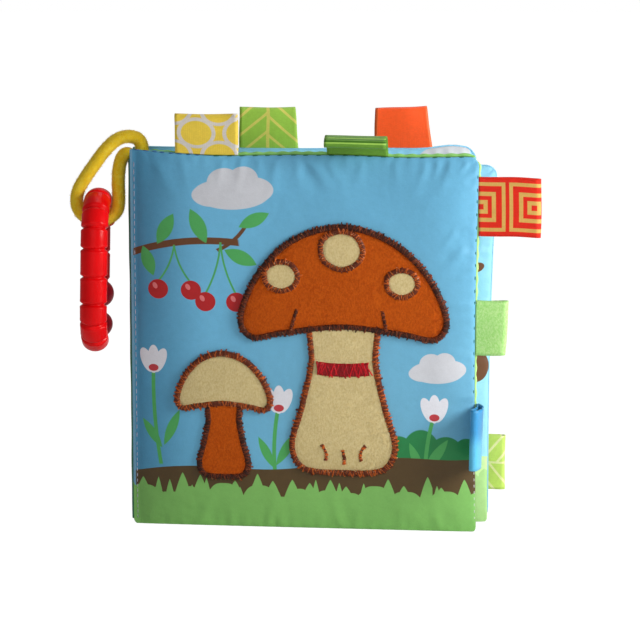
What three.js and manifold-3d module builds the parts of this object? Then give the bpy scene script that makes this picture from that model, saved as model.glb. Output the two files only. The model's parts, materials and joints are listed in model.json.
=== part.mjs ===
// Cloth baby book standing on its foot: three padded leaves that hinge at a sewn spine, raised
// plush toadstools on the cover, ribbon loops along the edges, and a ribbed link on a cord loop.
// Millimetres, +Z up, +X from the spine to the free edges, front cover towards -Y.

import * as THREE from 'three';
import { mergeVertices } from 'three/addons/utils/BufferGeometryUtils.js';
import Module from 'manifold-3d';

// Leaves: two fabric panels sewn together over a sheet of wadding
const LEAF_WIDTH = 155;
const LEAF_HEIGHT = 170;
const CROWN = 4.4;
const FABRIC = 0.7;
const CLEARANCE = 0.3;
const LIP_WIDTH = 3;
const SPINE_SWELL = 70;
const EDGE_SWELL = 30;
const SWELL_EXPONENT = 0.6;
const SWELL_SHARES = [0.06, 0.2, 0.5, 1];
const DRAW_IN = 1.2;
const FOOT_CUT = 0.5;

// Corner radii of a leaf, on its spine side and its free side
const HEAD_CORNERS = [0.8, 5];
const FOOT_CORNERS = [3, 2.5];

// How far the filled leaves' head seams sag, in shares of the width and of the sag's depth
const FRONT_SAG = 2.4;
const FRONT_SAG_SHARES = [[0, 0], [0.11, 0.58], [0.245, 0.88], [0.471, 0.42], [0.629, 0.46], [0.787, 1], [1, 1]];
const MIDDLE_SAG = 5;
const MIDDLE_SAG_SHARES = [[0, 0], [1, 1]];
const MIDDLE_FOOT_TAPER = 2.5;
const WADDING_INSET_LINES = 2;

// The middle leaf is sewn in on a wider gutter and stands a little lower than the covers
const MIDDLE_GUTTER = 8;
const MIDDLE_DROP = 3;

// Sewn spine
const HINGE_OFFSET = 3;
const REST_FAN = THREE.MathUtils.degToRad(5);
const FOLD_MARGIN = 6;
const FOLD_SIDES = 16;

// Raised plush pieces of the cover
const PLUSH_HEIGHT = 1;
const BORDER_HEIGHT = 1.6;
const BORDER_WIDTH = 3.4;
const OUTLINE_STEPS = 40;
const SPOT_STEPS = 18;

const RING_HEIGHT = 0.5;
const RING_BAND = 6.5;
const LARGE_TOADSTOOL = {
  xShare: 0.62, footShare: 0.159, ringShare: 0.412, brimShare: 0.518,
  capWidth: 92, capHeight: 50, stemWidth: 46,
};
const SMALL_TOADSTOOL = {
  xShare: 0.271, footShare: 0.141, brimShare: 0.3235,
  capWidth: 42, capHeight: 25, stemWidth: 22,
};
const LARGE_SPOTS = [
  { side: 'left', xShare: -0.304, zShare: 0.42, widthShare: 0.163, heightShare: 0.26 },
  { side: 'middle', xShare: -0.011, zShare: 0.62, widthShare: 0.2065, heightShare: 0.34 },
  { side: 'right', xShare: 0.283, zShare: 0.38, widthShare: 0.152, heightShare: 0.24 },
];

// Outlines as shares of a piece's width and height, from its foot's middle, anticlockwise
const CAP_SHARES = [
  [0, 0.1], [0.3, 0.04], [0.45, 0], [0.5, 0.12], [0.43, 0.5], [0.25, 0.85],
  [0, 1], [-0.25, 0.87], [-0.43, 0.52], [-0.5, 0.12], [-0.45, 0], [-0.3, 0.04],
];
const STEM_SHARES = [
  [0, 0], [0.4, 0.03], [0.5, 0.16], [0.4, 0.45], [0.31, 0.75], [0.3, 1.08],
  [0, 1.12], [-0.3, 1.08], [-0.31, 0.75], [-0.4, 0.45], [-0.5, 0.16], [-0.4, 0.03],
];
const RING_SHARES = [
  [0, 0], [0.28, 0.05], [0.45, 0.12], [0.5, 0.6], [0.45, 1.1], [0.28, 1.02],
  [0, 1], [-0.28, 1.02], [-0.45, 1.1], [-0.5, 0.6], [-0.45, 0.12], [-0.28, 0.05],
];
const NECK_WIDTH_SHARE = 0.62;
const STEM_TUCK_SHARE = 1.085;
const SPOT_SHARES = [[0, 0], [0.4, 0.2], [0.5, 0.55], [0.3, 0.92], [-0.1, 1], [-0.45, 0.75], [-0.42, 0.25]];

// Ribbon loops: where each is sewn in, how wide it is and how far it reaches as shares of the usual
// loop, and how it leans and bends
const RIBBON = 0.6;
const RIBBON_WIDTH = 27;
const LOOP_REACH = 18;
const LOOP_FOLD = 1.7;
const LOOP_STEPS = 5;
const FOLD_STEPS = 4;
const LOOPS = [
  {
    name: 'tag_rings', leaf: 'front', edge: 'top', color: '#e0c63c',
    placeShare: 0.223, widthShare: 1.04, reachShare: 1, lean: 4, bend: 6,
  },
  {
    name: 'tag_plain_green', leaf: 'front', edge: 'top', color: '#79b832',
    placeShare: 0.655, widthShare: 1, reachShare: 1, lean: 3, bend: 120,
  },
  {
    name: 'tag_squares', leaf: 'front', edge: 'side', color: '#c8321c',
    placeShare: 0.862, widthShare: 0.963, reachShare: 1.5, lean: 2, bend: 8,
  },
  {
    name: 'tag_terry', leaf: 'front', edge: 'side', color: '#7ecb3c',
    placeShare: 0.546, widthShare: 0.9, reachShare: 0.79, lean: 0, bend: 6,
  },
  {
    name: 'tag_blue', leaf: 'front', edge: 'side', color: '#3f9fdc',
    placeShare: 0.262, widthShare: 1, reachShare: 1, lean: 66, bend: 50,
  },
  {
    name: 'tag_veins', leaf: 'back', edge: 'top', color: '#8cc63f',
    placeShare: 0.392, widthShare: 0.95, reachShare: 1.056, lean: 2, bend: 5,
  },
  {
    name: 'tag_orange', leaf: 'back', edge: 'top', color: '#e8501e',
    placeShare: 0.782, widthShare: 0.93, reachShare: 1, lean: 0, bend: -5,
  },
  {
    name: 'tag_chevrons', leaf: 'back', edge: 'side', color: '#93c83e',
    placeShare: 0.139, widthShare: 0.94, reachShare: 0.833, lean: 0, bend: 5,
  },
];

// Cord loop: both ends are sewn into the head of the spine, and the link hangs in the bight
const CORD = 5.8;
const CORD_SIDES = 10;
const CORD_STEPS = 34;
const CORD_ROUTE = [
  [4.8, 0, 167.4], [4.8, 0, 171], [3.2, 0, 173.8], [-0.8, -0.3, 175], [-5.8, -0.4, 173.8],
  [-11.4, -0.4, 169], [-16.4, -0.3, 162.4], [-20.8, 0, 156.2], [-23.8, 0, 151],
  [-24.7, 0, 146.4], [-23.7, 0, 142], [-20.7, 0, 138.8], [-17.2, 0, 137.9],
  [-15.2, 0, 137.9], [-13.2, 0, 137.9], [-9.7, 0, 138.8], [-6.6, 0, 142],
  [-5.8, 0, 147], [-5.9, 0, 152.8], [-5.7, 0, 158.5], [-5, 0, 162.8], [-3.9, 0, 165.8], [-2, 0, 167.4],
];
const [BIGHT_X, , BIGHT_Z] = CORD_ROUTE[13];

// Link: a ribbed C whose two ball ends nearly meet
const LINK_HEIGHT = 74.5;
const LINK_WIDTH = 45;
const LINK_DEPTH = 10.8;
const LINK_THICKNESS = 12.2;
const LINK_SIDES = 14;
const LINK_RIBS = 13;
const LINK_HANG = 0.5;
const LINK_GAP = 2;
const LINK_GAP_TURN = THREE.MathUtils.degToRad(18);
const GROOVE_DEPTH = 1.4;
const GROOVE_WIDTH = 2.4;
const NECK_SHARE = 0.68;
const TAPER_RIBS = 2;
const BALL_SHARES = [0.05, 0.16, 0.32, 0.5, 0.72];

// Colours that more than one piece has
const PAGE_BLUE = '#7cc4e8';
const COVER_BLUE = '#6bb4dc';
const WADDING_WHITE = '#f4f2ea';
const PLUSH_BROWN = '#c8661c';
const PLUSH_CREAM = '#efe0ac';
const SATIN_DARK = '#4a1c0c';
const SATIN_RUST = '#a8501e';

const HALF_TURN = Math.PI;
const LIP = FABRIC + CLEARANCE / 2;

const wasm = await Module();
wasm.setup();

// A closed geometry as a solid that can be joined and cut
function solidOf(geometry) {
  const bare = geometry.index ? geometry.toNonIndexed() : geometry.clone();
  bare.deleteAttribute('normal');
  bare.deleteAttribute('uv');
  const merged = mergeVertices(bare);
  return new wasm.Manifold(new wasm.Mesh({
    numProp: 3,
    vertProperties: merged.attributes.position.array,
    triVerts: new Uint32Array(merged.index.array),
  }));
}

// The geometry of a solid, for a mesh
function geometryOf(solid) {
  const { vertProperties, triVerts, numProp } = solid.getMesh();
  const geometry = new THREE.BufferGeometry();
  geometry.setAttribute('position', new THREE.InterleavedBufferAttribute(
    new THREE.InterleavedBuffer(vertProperties, numProp), 3, 0));
  geometry.setIndex([...triVerts]);
  return geometry.toNonIndexed();
}

function geometryFrom(points, faces) {
  const geometry = new THREE.BufferGeometry();
  geometry.setAttribute('position', new THREE.Float32BufferAttribute(points.flat(), 3));
  geometry.setIndex(faces.flat());
  const flat = geometry.toNonIndexed();
  flat.computeVertexNormals();
  return flat;
}

function makeMesh(name, geometry, color, roughness = 0.85, metalness = 0) {
  geometry.computeVertexNormals();
  const mesh = new THREE.Mesh(geometry, new THREE.MeshStandardMaterial({ color, roughness, metalness }));
  mesh.name = name;
  return mesh;
}

// Lines of a leaf's grid along one side: the sewn lips, the swell at each end and the middle
function gridLines(length, gutter, nearSwell, farSwell) {
  const near = LIP_WIDTH + gutter;
  const far = length - LIP_WIDTH;
  const nearLines = SWELL_SHARES.map((share) => near + nearSwell * share);
  const farLines = SWELL_SHARES.map((share) => far - farSwell * share).reverse();
  const middle = (nearLines.at(-1) + farLines[0]) / 2;
  return [0, near, ...nearLines, middle, ...farLines, far, length];
}

function makeLeaf({ height, gutter = 0, sag = 0, sagShares = [[0, 0]], footTaper = 0 }) {
  const width = LEAF_WIDTH + gutter;
  const cutHeight = height + FOOT_CUT;
  return {
    width,
    height,
    gutter,
    cutHeight,
    sag,
    sagShares,
    footTaper,
    xs: gridLines(width, gutter, SPINE_SWELL, EDGE_SWELL),
    zs: gridLines(cutHeight, 0, EDGE_SWELL, EDGE_SWELL),
  };
}

function rise(distance, swell) {
  const left = 1 - THREE.MathUtils.clamp(distance / swell, 0, 1);
  return (1 - left * left) ** SWELL_EXPONENT;
}

// Half the leaf's thickness at a place, from the thin sewn lip up to the crown
function halfThickness(leaf, x, z) {
  const inside = rise(x - LIP_WIDTH - leaf.gutter, SPINE_SWELL);
  const across = inside * rise(leaf.width - LIP_WIDTH - x, EDGE_SWELL);
  const along = rise(z - LIP_WIDTH, EDGE_SWELL) * rise(leaf.cutHeight - LIP_WIDTH - z, EDGE_SWELL);
  return LIP + (CROWN - LIP) * across * along;
}

// The head seam's sag at a share of the leaf's width
function sagAt({ sag, sagShares }, shareX) {
  const next = sagShares.findIndex(([place]) => place > shareX);
  if (next < 0) return sag * sagShares.at(-1)[1];
  const [nearPlace, nearDepth] = sagShares[Math.max(next - 1, 0)];
  const [farPlace, farDepth] = sagShares[next];
  const part = THREE.MathUtils.clamp((shareX - nearPlace) / (farPlace - nearPlace), 0, 1);
  return sag * THREE.MathUtils.lerp(nearDepth, farDepth, part);
}

// Where a grid point lies: sides drawn in, corners rounded, and the foot cut flat on the floor
function outlinePlace(leaf, x, z) {
  const middleX = leaf.width / 2;
  const middleZ = leaf.cutHeight / 2;
  const edgeX = middleX - Math.abs(x - middleX);
  const edgeZ = middleZ - Math.abs(z - middleZ);
  const corner = (z > middleZ ? HEAD_CORNERS : FOOT_CORNERS)[x > middleX ? 1 : 0];
  const cornerX = Math.max(0, corner - edgeX);
  const cornerZ = Math.max(0, corner - edgeZ);
  const radius = Math.hypot(cornerX, cornerZ);
  const shrink = cornerX > 0 && cornerZ > 0 ? Math.max(cornerX, cornerZ) / radius : 1;
  const roundX = x + Math.sign(middleX - x) * cornerX * (1 - shrink);
  const roundZ = z + Math.sign(middleZ - z) * cornerZ * (1 - shrink);
  const shareX = x / leaf.width;
  const shareZ = z / leaf.cutHeight;
  const taper = leaf.footTaper * (1 - shareZ) * shareX;
  const drawnX = roundX - DRAW_IN * Math.sin(HALF_TURN * shareZ) * shareX ** 3 - taper;
  const drop = DRAW_IN * Math.sin(HALF_TURN * shareX) + sagAt(leaf, shareX);
  const drawnZ = roundZ - drop * shareZ ** 3;
  return [drawnX, Math.max(drawnZ - FOOT_CUT, 0)];
}

// A closed sheet that follows the leaf's swell, between two heights taken from its half thickness
function sheet(leaf, nearOf, farOf, insetLines = 0) {
  const xs = leaf.xs.slice(insetLines, leaf.xs.length - insetLines);
  const zs = leaf.zs.slice(insetLines, leaf.zs.length - insetLines);
  const points = [];
  for (const heightOf of [nearOf, farOf]) {
    for (const x of xs) {
      for (const z of zs) {
        const [placeX, placeZ] = outlinePlace(leaf, x, z);
        points.push([placeX, heightOf(halfThickness(leaf, x, z)), placeZ]);
      }
    }
  }
  const rows = zs.length;
  const layer = xs.length * rows;
  const at = (i, k) => i * rows + k;
  const faces = [];
  for (let i = 0; i < xs.length - 1; i += 1) {
    for (let k = 0; k < rows - 1; k += 1) {
      const [a, b, c, d] = [at(i, k), at(i, k + 1), at(i + 1, k + 1), at(i + 1, k)];
      faces.push([a, c, b], [a, d, c]);
      faces.push([layer + a, layer + b, layer + c], [layer + a, layer + c, layer + d]);
    }
  }
  const rim = [];
  for (let i = 0; i < xs.length - 1; i += 1) rim.push(at(i, 0));
  for (let k = 0; k < rows - 1; k += 1) rim.push(at(xs.length - 1, k));
  for (let i = xs.length - 1; i > 0; i -= 1) rim.push(at(i, rows - 1));
  for (let k = rows - 1; k > 0; k -= 1) rim.push(at(0, k));
  rim.forEach((a, i) => {
    const b = rim[(i + 1) % rim.length];
    faces.push([a, layer + b, b], [a, layer + a, layer + b]);
  });
  return geometryFrom(points, faces);
}

// The two panels and the wadding of one leaf
const innerFace = (half) => Math.max(half - FABRIC, CLEARANCE / 2);
const frontPanel = (leaf) => sheet(leaf, (half) => -half, (half) => -innerFace(half));
const rearPanel = (leaf) => sheet(leaf, (half) => innerFace(half), (half) => half);
const wadding = (leaf) => sheet(
  leaf,
  (half) => CLEARANCE - innerFace(half),
  (half) => innerFace(half) - CLEARANCE,
  WADDING_INSET_LINES,
);

const ribbonWidth = ({ widthShare }) => RIBBON_WIDTH * widthShare;

// A ribbon loop in its own frame: sewn in along X, reaching out along +Z, bending towards -Y
function loopGeometry(loop) {
  const { reachShare, lean, bend } = loop;
  const width = ribbonWidth(loop);
  const length = LOOP_REACH * reachShare - LOOP_FOLD;
  const middle = [];
  const ways = [];
  let place = new THREE.Vector2(0, 0);
  for (let i = 0; i <= LOOP_STEPS; i += 1) {
    const angle = THREE.MathUtils.degToRad(lean + (bend * i) / LOOP_STEPS);
    const way = new THREE.Vector2(-Math.sin(angle), Math.cos(angle));
    if (i > 0) place = place.clone().addScaledVector(way, length / LOOP_STEPS);
    middle.push(place);
    ways.push(way);
  }
  const rootSpread = (CLEARANCE + RIBBON) / 2;
  const swelling = (i) => Math.sin((HALF_TURN / 2) * (i / LOOP_STEPS));
  const spread = (i) => rootSpread + (LOOP_FOLD - rootSpread) * swelling(i);
  const beside = (i, distance) => new THREE.Vector2(ways[i].y, -ways[i].x)
    .multiplyScalar(distance).add(middle[i]);
  const path = (offset) => {
    const line = middle.map((_, i) => beside(i, spread(i) + offset));
    for (let i = 1; i < FOLD_STEPS; i += 1) {
      const turn = (HALF_TURN * i) / FOLD_STEPS;
      const end = ways.at(-1);
      line.push(new THREE.Vector2(end.y, -end.x).multiplyScalar(Math.cos(turn))
        .addScaledVector(end, Math.sin(turn))
        .multiplyScalar(LOOP_FOLD + offset)
        .add(middle.at(-1)));
    }
    for (let i = LOOP_STEPS; i >= 0; i -= 1) line.push(beside(i, -spread(i) - offset));
    return line;
  };
  const outline = [...path(RIBBON / 2), ...path(-RIBBON / 2).reverse()];
  const geometry = new THREE.ExtrudeGeometry(new THREE.Shape(outline), {
    depth: width, steps: 1, bevelEnabled: false,
  });
  geometry.translate(0, 0, -width / 2);
  geometry.applyMatrix4(new THREE.Matrix4().makeBasis(
    new THREE.Vector3(0, 1, 0), new THREE.Vector3(0, 0, 1), new THREE.Vector3(1, 0, 0)));
  return geometry;
}

// The highest point of the leaf's edge along a stretch, so that what is sewn there clears it
function edgeReach(leaf, edge, place, width) {
  const [lines, length] = edge === 'top' ? [leaf.xs, leaf.width] : [leaf.zs, leaf.cutHeight];
  const near = THREE.MathUtils.clamp(place - width / 2, 0, length);
  const far = THREE.MathUtils.clamp(place + width / 2, 0, length);
  const stretch = [near, ...lines.filter((line) => line > near && line < far), far];
  const places = stretch.map((line) => (edge === 'top'
    ? outlinePlace(leaf, line, leaf.cutHeight)[1]
    : outlinePlace(leaf, leaf.width, line)[0]));
  return Math.max(...places);
}

function makeLoop(loop, leaf) {
  const mesh = makeMesh(loop.name, loopGeometry(loop), loop.color, 0.7);
  const place = loop.placeShare * (loop.edge === 'top' ? leaf.width : leaf.height);
  const tilt = (RIBBON + CLEARANCE / 2) * Math.sin(THREE.MathUtils.degToRad(loop.lean));
  const edge = edgeReach(leaf, loop.edge, place, ribbonWidth(loop)) + CLEARANCE + tilt;
  if (loop.edge === 'top') {
    mesh.position.set(place, 0, edge);
  } else {
    mesh.rotation.y = HALF_TURN / 2;
    mesh.position.set(edge, 0, place);
  }
  return mesh;
}

// Outlines of the raised pieces
function outlineOf(piece, shares, steps) {
  const points = shares.map(([x, z]) => new THREE.Vector3(
    piece.x + x * piece.width, piece.z + z * piece.height, 0));
  const curve = new THREE.CatmullRomCurve3(points, true, 'centripetal');
  return curve.getSpacedPoints(steps).slice(0, steps).map((p) => new THREE.Vector2(p.x, p.y));
}

// The outline moved outwards by a distance, or inwards where it is negative
function grown(outline, distance) {
  return outline.map((point, i) => {
    const before = outline[(i + outline.length - 1) % outline.length];
    const after = outline[(i + 1) % outline.length];
    const way = after.clone().sub(before).normalize();
    return new THREE.Vector2(way.y, -way.x).multiplyScalar(distance).add(point);
  });
}

// The outline carried right through the cover's front, as a solid
function prismOf(outline) {
  const depth = CROWN + PLUSH_HEIGHT + BORDER_HEIGHT + CLEARANCE;
  const geometry = new THREE.ExtrudeGeometry(new THREE.Shape(outline), {
    depth: depth * 2, steps: 1, bevelEnabled: false,
  });
  geometry.rotateX(HALF_TURN / 2);
  geometry.translate(0, depth, 0);
  return solidOf(geometry);
}

// The layer over the cover's front between two heights, the lower one a clearance off what is under it
function coverLayer(leaf, height, under = 0) {
  const foot = under + CLEARANCE;
  return solidOf(sheet(leaf, (half) => -half - foot - height, (half) => -half - foot));
}

// A plush piece inside its satin border, both cut back from the pieces that lie over them
function plushPiece(leaf, name, outline, over, plushColor, borderColor) {
  const half = BORDER_WIDTH / 2;
  const covers = over.map((other) => prismOf(grown(other, half + CLEARANCE)));
  const inside = prismOf(grown(outline, -half - CLEARANCE));
  const band = prismOf(grown(outline, half)).subtract(prismOf(grown(outline, -half)));
  let plush = coverLayer(leaf, PLUSH_HEIGHT).intersect(inside);
  let border = coverLayer(leaf, BORDER_HEIGHT).intersect(band);
  for (const cover of covers) {
    plush = plush.subtract(cover);
    border = border.subtract(cover);
  }
  return [
    makeMesh(`${name}_plush`, geometryOf(plush), plushColor, 1),
    makeMesh(`${name}_border`, geometryOf(border), borderColor, 0.5),
  ];
}

// Where the cap and the stem of a toadstool lie on the leaf; the stem is tucked under the cap
function capOf(leaf, { xShare, brimShare, capWidth, capHeight }) {
  return { x: leaf.width * xShare, z: leaf.height * brimShare, width: capWidth, height: capHeight };
}

function stemOf(leaf, { xShare, footShare, brimShare, stemWidth }) {
  const height = leaf.height * (brimShare - footShare) * STEM_TUCK_SHARE;
  return { x: leaf.width * xShare, z: leaf.height * footShare, width: stemWidth, height };
}

// The ring band fits across the neck of the stem, between its borders
function ringOf(leaf, { xShare, ringShare, stemWidth }) {
  const width = stemWidth * NECK_WIDTH_SHARE - BORDER_WIDTH - CLEARANCE * 4;
  return { x: leaf.width * xShare, z: leaf.height * ringShare, width, height: RING_BAND };
}

function coverPieces(leaf) {
  const cap = capOf(leaf, LARGE_TOADSTOOL);
  const largeCap = outlineOf(cap, CAP_SHARES, OUTLINE_STEPS);
  const largeStem = outlineOf(stemOf(leaf, LARGE_TOADSTOOL), STEM_SHARES, OUTLINE_STEPS);
  const ring = outlineOf(ringOf(leaf, LARGE_TOADSTOOL), RING_SHARES, OUTLINE_STEPS);
  const smallCap = outlineOf(capOf(leaf, SMALL_TOADSTOOL), CAP_SHARES, OUTLINE_STEPS);
  const smallStem = outlineOf(stemOf(leaf, SMALL_TOADSTOOL), STEM_SHARES, OUTLINE_STEPS);
  const spots = LARGE_SPOTS.map((spot) => outlineOf({
    x: cap.x + cap.width * spot.xShare,
    z: cap.z + cap.height * spot.zShare,
    width: cap.width * spot.widthShare,
    height: cap.height * spot.heightShare,
  }, SPOT_SHARES, SPOT_STEPS));
  const ringLayer = coverLayer(leaf, RING_HEIGHT, CLEARANCE + PLUSH_HEIGHT);
  const pieces = [
    ...plushPiece(leaf, 'large_cap', largeCap, spots, PLUSH_BROWN, SATIN_DARK),
    ...plushPiece(leaf, 'large_stem', largeStem, [largeCap], PLUSH_CREAM, SATIN_RUST),
    ...plushPiece(leaf, 'small_cap', smallCap, [], PLUSH_CREAM, SATIN_RUST),
    ...plushPiece(leaf, 'small_stem', smallStem, [smallCap], PLUSH_BROWN, SATIN_DARK),
    makeMesh('stem_ring', geometryOf(ringLayer.intersect(prismOf(ring))), '#c01f26', 0.45),
  ];
  spots.forEach((outline, i) => {
    pieces.push(...plushPiece(leaf, `spot_${LARGE_SPOTS[i].side}`, outline, [], PLUSH_CREAM, SATIN_RUST));
  });
  return pieces;
}

// A fold of the spine's fabric, rolled round a hinge line between two leaves
function spineFold(name, y) {
  const radius = HINGE_OFFSET - LIP - CLEARANCE;
  const height = LEAF_HEIGHT - MIDDLE_DROP - FOLD_MARGIN * 2;
  const geometry = new THREE.CylinderGeometry(radius, radius, height, FOLD_SIDES);
  geometry.rotateX(HALF_TURN / 2);
  const mesh = makeMesh(name, geometry, '#3f7d3a');
  mesh.position.set(0, y, FOLD_MARGIN + height / 2);
  return mesh;
}

function cordLoop() {
  const curve = new THREE.CatmullRomCurve3(
    CORD_ROUTE.map((point) => new THREE.Vector3(...point)), false, 'centripetal');
  const section = new THREE.Shape();
  for (let i = 0; i < CORD_SIDES; i += 1) {
    const turn = (2 * HALF_TURN * i) / CORD_SIDES;
    const [x, y] = [(CORD / 2) * Math.cos(turn), (CORD / 2) * Math.sin(turn)];
    if (i === 0) section.moveTo(x, y);
    else section.lineTo(x, y);
  }
  section.closePath();
  return makeMesh('cord_loop', new THREE.ExtrudeGeometry(section, {
    steps: CORD_STEPS, extrudePath: curve, bevelEnabled: false,
  }), '#d8b42c', 1);
}

// A point of the link's centre line and the way it runs, from the foot of the far arm upwards
function linkLine(distance) {
  const radius = (LINK_WIDTH - LINK_DEPTH) / 2;
  const straight = LINK_HEIGHT - LINK_WIDTH;
  const bend = HALF_TURN * radius;
  const round = 2 * (straight + bend);
  const s = ((distance % round) + round) % round;
  const onBend = (turn, foot) => ({
    place: [radius * Math.cos(turn), foot + radius * Math.sin(turn)],
    way: [-Math.sin(turn), Math.cos(turn)],
  });
  if (s < straight) return { place: [radius, s - straight / 2], way: [0, 1] };
  if (s < straight + bend) return onBend((s - straight) / radius, straight / 2);
  if (s < 2 * straight + bend) return { place: [-radius, straight * 1.5 + bend - s], way: [0, -1] };
  return onBend(HALF_TURN + (s - 2 * straight - bend) / radius, -straight / 2);
}

// Stations along the link: how far along, and the section's size as a share of the full one
function linkStations() {
  const radius = (LINK_WIDTH - LINK_DEPTH) / 2;
  const round = 2 * (LINK_HEIGHT - LINK_WIDTH + HALF_TURN * radius);
  const start = LINK_GAP / 2 - radius * LINK_GAP_TURN;
  const rib = (round - LINK_GAP) / LINK_RIBS;
  const groove = 1 - GROOVE_DEPTH / (LINK_DEPTH / 2);
  const shoulder = GROOVE_WIDTH / 2 / rib;
  const ball = BALL_SHARES.map((share) => [share, Math.sqrt(1 - (1 - 2 * share) ** 2)]);
  const stations = [];
  for (let i = 0; i < LINK_RIBS; i += 1) {
    const first = i === 0;
    const last = i === LINK_RIBS - 1;
    const slim = i <= TAPER_RIBS || i >= LINK_RIBS - 1 - TAPER_RIBS;
    const size = slim ? NECK_SHARE : 1;
    const shares = [[0, groove * size], [shoulder, size], [1 - shoulder, size]];
    const ends = first ? ball : ball.map(([share, scale]) => [1 - share, scale]).reverse();
    const profile = first || last ? ends : shares;
    if (last) stations.push({ s: start + rib * i, scale: groove * NECK_SHARE });
    for (const [share, scale] of profile) stations.push({ s: start + rib * (i + share), scale });
  }
  return { stations, first: start, last: start + rib * LINK_RIBS };
}

function linkGeometry() {
  const { stations, first, last } = linkStations();
  const points = [];
  const faces = [];
  for (const { s, scale } of stations) {
    const { place, way } = linkLine(s);
    const out = [way[1], -way[0]];
    for (let i = 0; i < LINK_SIDES; i += 1) {
      const turn = (2 * HALF_TURN * i) / LINK_SIDES;
      const side = (LINK_THICKNESS / 2) * scale * Math.cos(turn);
      const depth = (LINK_DEPTH / 2) * scale * Math.sin(turn);
      points.push([side, place[0] + out[0] * depth, place[1] + out[1] * depth]);
    }
  }
  const ring = (k, i) => k * LINK_SIDES + (i % LINK_SIDES);
  for (let k = 0; k < stations.length - 1; k += 1) {
    for (let i = 0; i < LINK_SIDES; i += 1) {
      const [a, b, c, d] = [ring(k, i), ring(k, i + 1), ring(k + 1, i + 1), ring(k + 1, i)];
      faces.push([a, b, c], [a, c, d]);
    }
  }
  const endPoint = (s) => {
    const { place } = linkLine(s);
    points.push([0, place[0], place[1]]);
    return points.length - 1;
  };
  const startPole = endPoint(first);
  const endPole = endPoint(last);
  for (let i = 0; i < LINK_SIDES; i += 1) {
    faces.push([startPole, ring(0, i + 1), ring(0, i)]);
    faces.push([endPole, ring(stations.length - 1, i), ring(stations.length - 1, i + 1)]);
  }
  return geometryFrom(points, faces);
}

// The link hangs with the inside of its top bend on the cord
function makeLink() {
  const mesh = makeMesh('link', linkGeometry(), '#d01018', 0.2);
  const hang = LINK_HEIGHT / 2 - LINK_DEPTH - CORD / 2 - LINK_HANG;
  mesh.position.set(BIGHT_X, 0, BIGHT_Z - hang);
  return mesh;
}

// A cover turns about its hinge line, and at rest the padding holds it open by the fan angle
function makeCover(side, meshes) {
  const cover = new THREE.Group();
  cover.position.set(0, side * HINGE_OFFSET, 0);
  cover.rotation.z = side * REST_FAN;
  for (const mesh of meshes) {
    mesh.position.x += CLEARANCE;
    mesh.position.y += side * HINGE_OFFSET;
    cover.add(mesh);
  }
  return cover;
}

const frontLeaf = makeLeaf({ height: LEAF_HEIGHT, sag: FRONT_SAG, sagShares: FRONT_SAG_SHARES });
const middleLeaf = makeLeaf({
  height: LEAF_HEIGHT - MIDDLE_DROP,
  gutter: MIDDLE_GUTTER,
  sag: MIDDLE_SAG,
  sagShares: MIDDLE_SAG_SHARES,
  footTaper: MIDDLE_FOOT_TAPER,
});
const backLeaf = makeLeaf({ height: LEAF_HEIGHT });
const loopsOf = (side, leaf) => LOOPS
  .filter((loop) => loop.leaf === side)
  .map((loop) => makeLoop(loop, leaf));

const book = new THREE.Group();
book.add(
  makeMesh('middle_leaf_front', frontPanel(middleLeaf), PAGE_BLUE),
  makeMesh('middle_leaf_wadding', wadding(middleLeaf), WADDING_WHITE, 1),
  makeMesh('middle_leaf_back', rearPanel(middleLeaf), PAGE_BLUE),
  spineFold('spine_fold_front', -HINGE_OFFSET),
  spineFold('spine_fold_rear', HINGE_OFFSET),
  cordLoop(),
  makeLink(),
  makeCover(-1, [
    makeMesh('front_leaf_cover', frontPanel(frontLeaf), COVER_BLUE),
    makeMesh('front_leaf_wadding', wadding(frontLeaf), WADDING_WHITE, 1),
    makeMesh('front_leaf_back', rearPanel(frontLeaf), '#58a83c'),
    ...coverPieces(frontLeaf),
    ...loopsOf('front', frontLeaf),
  ]),
  makeCover(1, [
    makeMesh('back_leaf_front', frontPanel(backLeaf), PAGE_BLUE),
    makeMesh('back_leaf_wadding', wadding(backLeaf), WADDING_WHITE, 1),
    makeMesh('back_leaf_cover', rearPanel(backLeaf), COVER_BLUE),
    ...loopsOf('back', backLeaf),
  ]),
);

// The origin lies on the floor under the middle of the book, measured without the cord
book.updateMatrixWorld(true);
const reach = new THREE.Box3();
book.traverse((object) => {
  if (object.isMesh && object.name !== 'cord_loop') reach.expandByObject(object, true);
});
const middle = reach.getCenter(new THREE.Vector3());
book.position.set(-middle.x, -middle.y, 0);

const model = new THREE.Group();
model.add(book);

export default model;
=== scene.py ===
import json
import math

import bmesh
import bpy
import numpy as np
from mathutils import Matrix, Vector


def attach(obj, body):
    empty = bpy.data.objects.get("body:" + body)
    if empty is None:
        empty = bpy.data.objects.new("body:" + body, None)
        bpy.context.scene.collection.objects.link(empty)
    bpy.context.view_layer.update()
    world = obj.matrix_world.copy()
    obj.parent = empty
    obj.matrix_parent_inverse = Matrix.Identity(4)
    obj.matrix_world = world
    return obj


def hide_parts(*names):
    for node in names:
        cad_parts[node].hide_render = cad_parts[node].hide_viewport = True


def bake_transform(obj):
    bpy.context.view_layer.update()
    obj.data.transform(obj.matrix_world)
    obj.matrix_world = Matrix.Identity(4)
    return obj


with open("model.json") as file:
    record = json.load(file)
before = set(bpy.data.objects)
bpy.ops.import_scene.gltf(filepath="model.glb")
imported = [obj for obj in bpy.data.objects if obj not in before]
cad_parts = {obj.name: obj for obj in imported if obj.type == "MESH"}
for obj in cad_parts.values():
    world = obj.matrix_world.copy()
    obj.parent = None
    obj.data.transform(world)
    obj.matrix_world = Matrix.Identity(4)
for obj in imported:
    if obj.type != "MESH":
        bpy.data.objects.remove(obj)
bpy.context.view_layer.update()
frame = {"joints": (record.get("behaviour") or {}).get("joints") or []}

# Lengths below are millimetres, and meshes are made in metres
MM = 0.001

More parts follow.
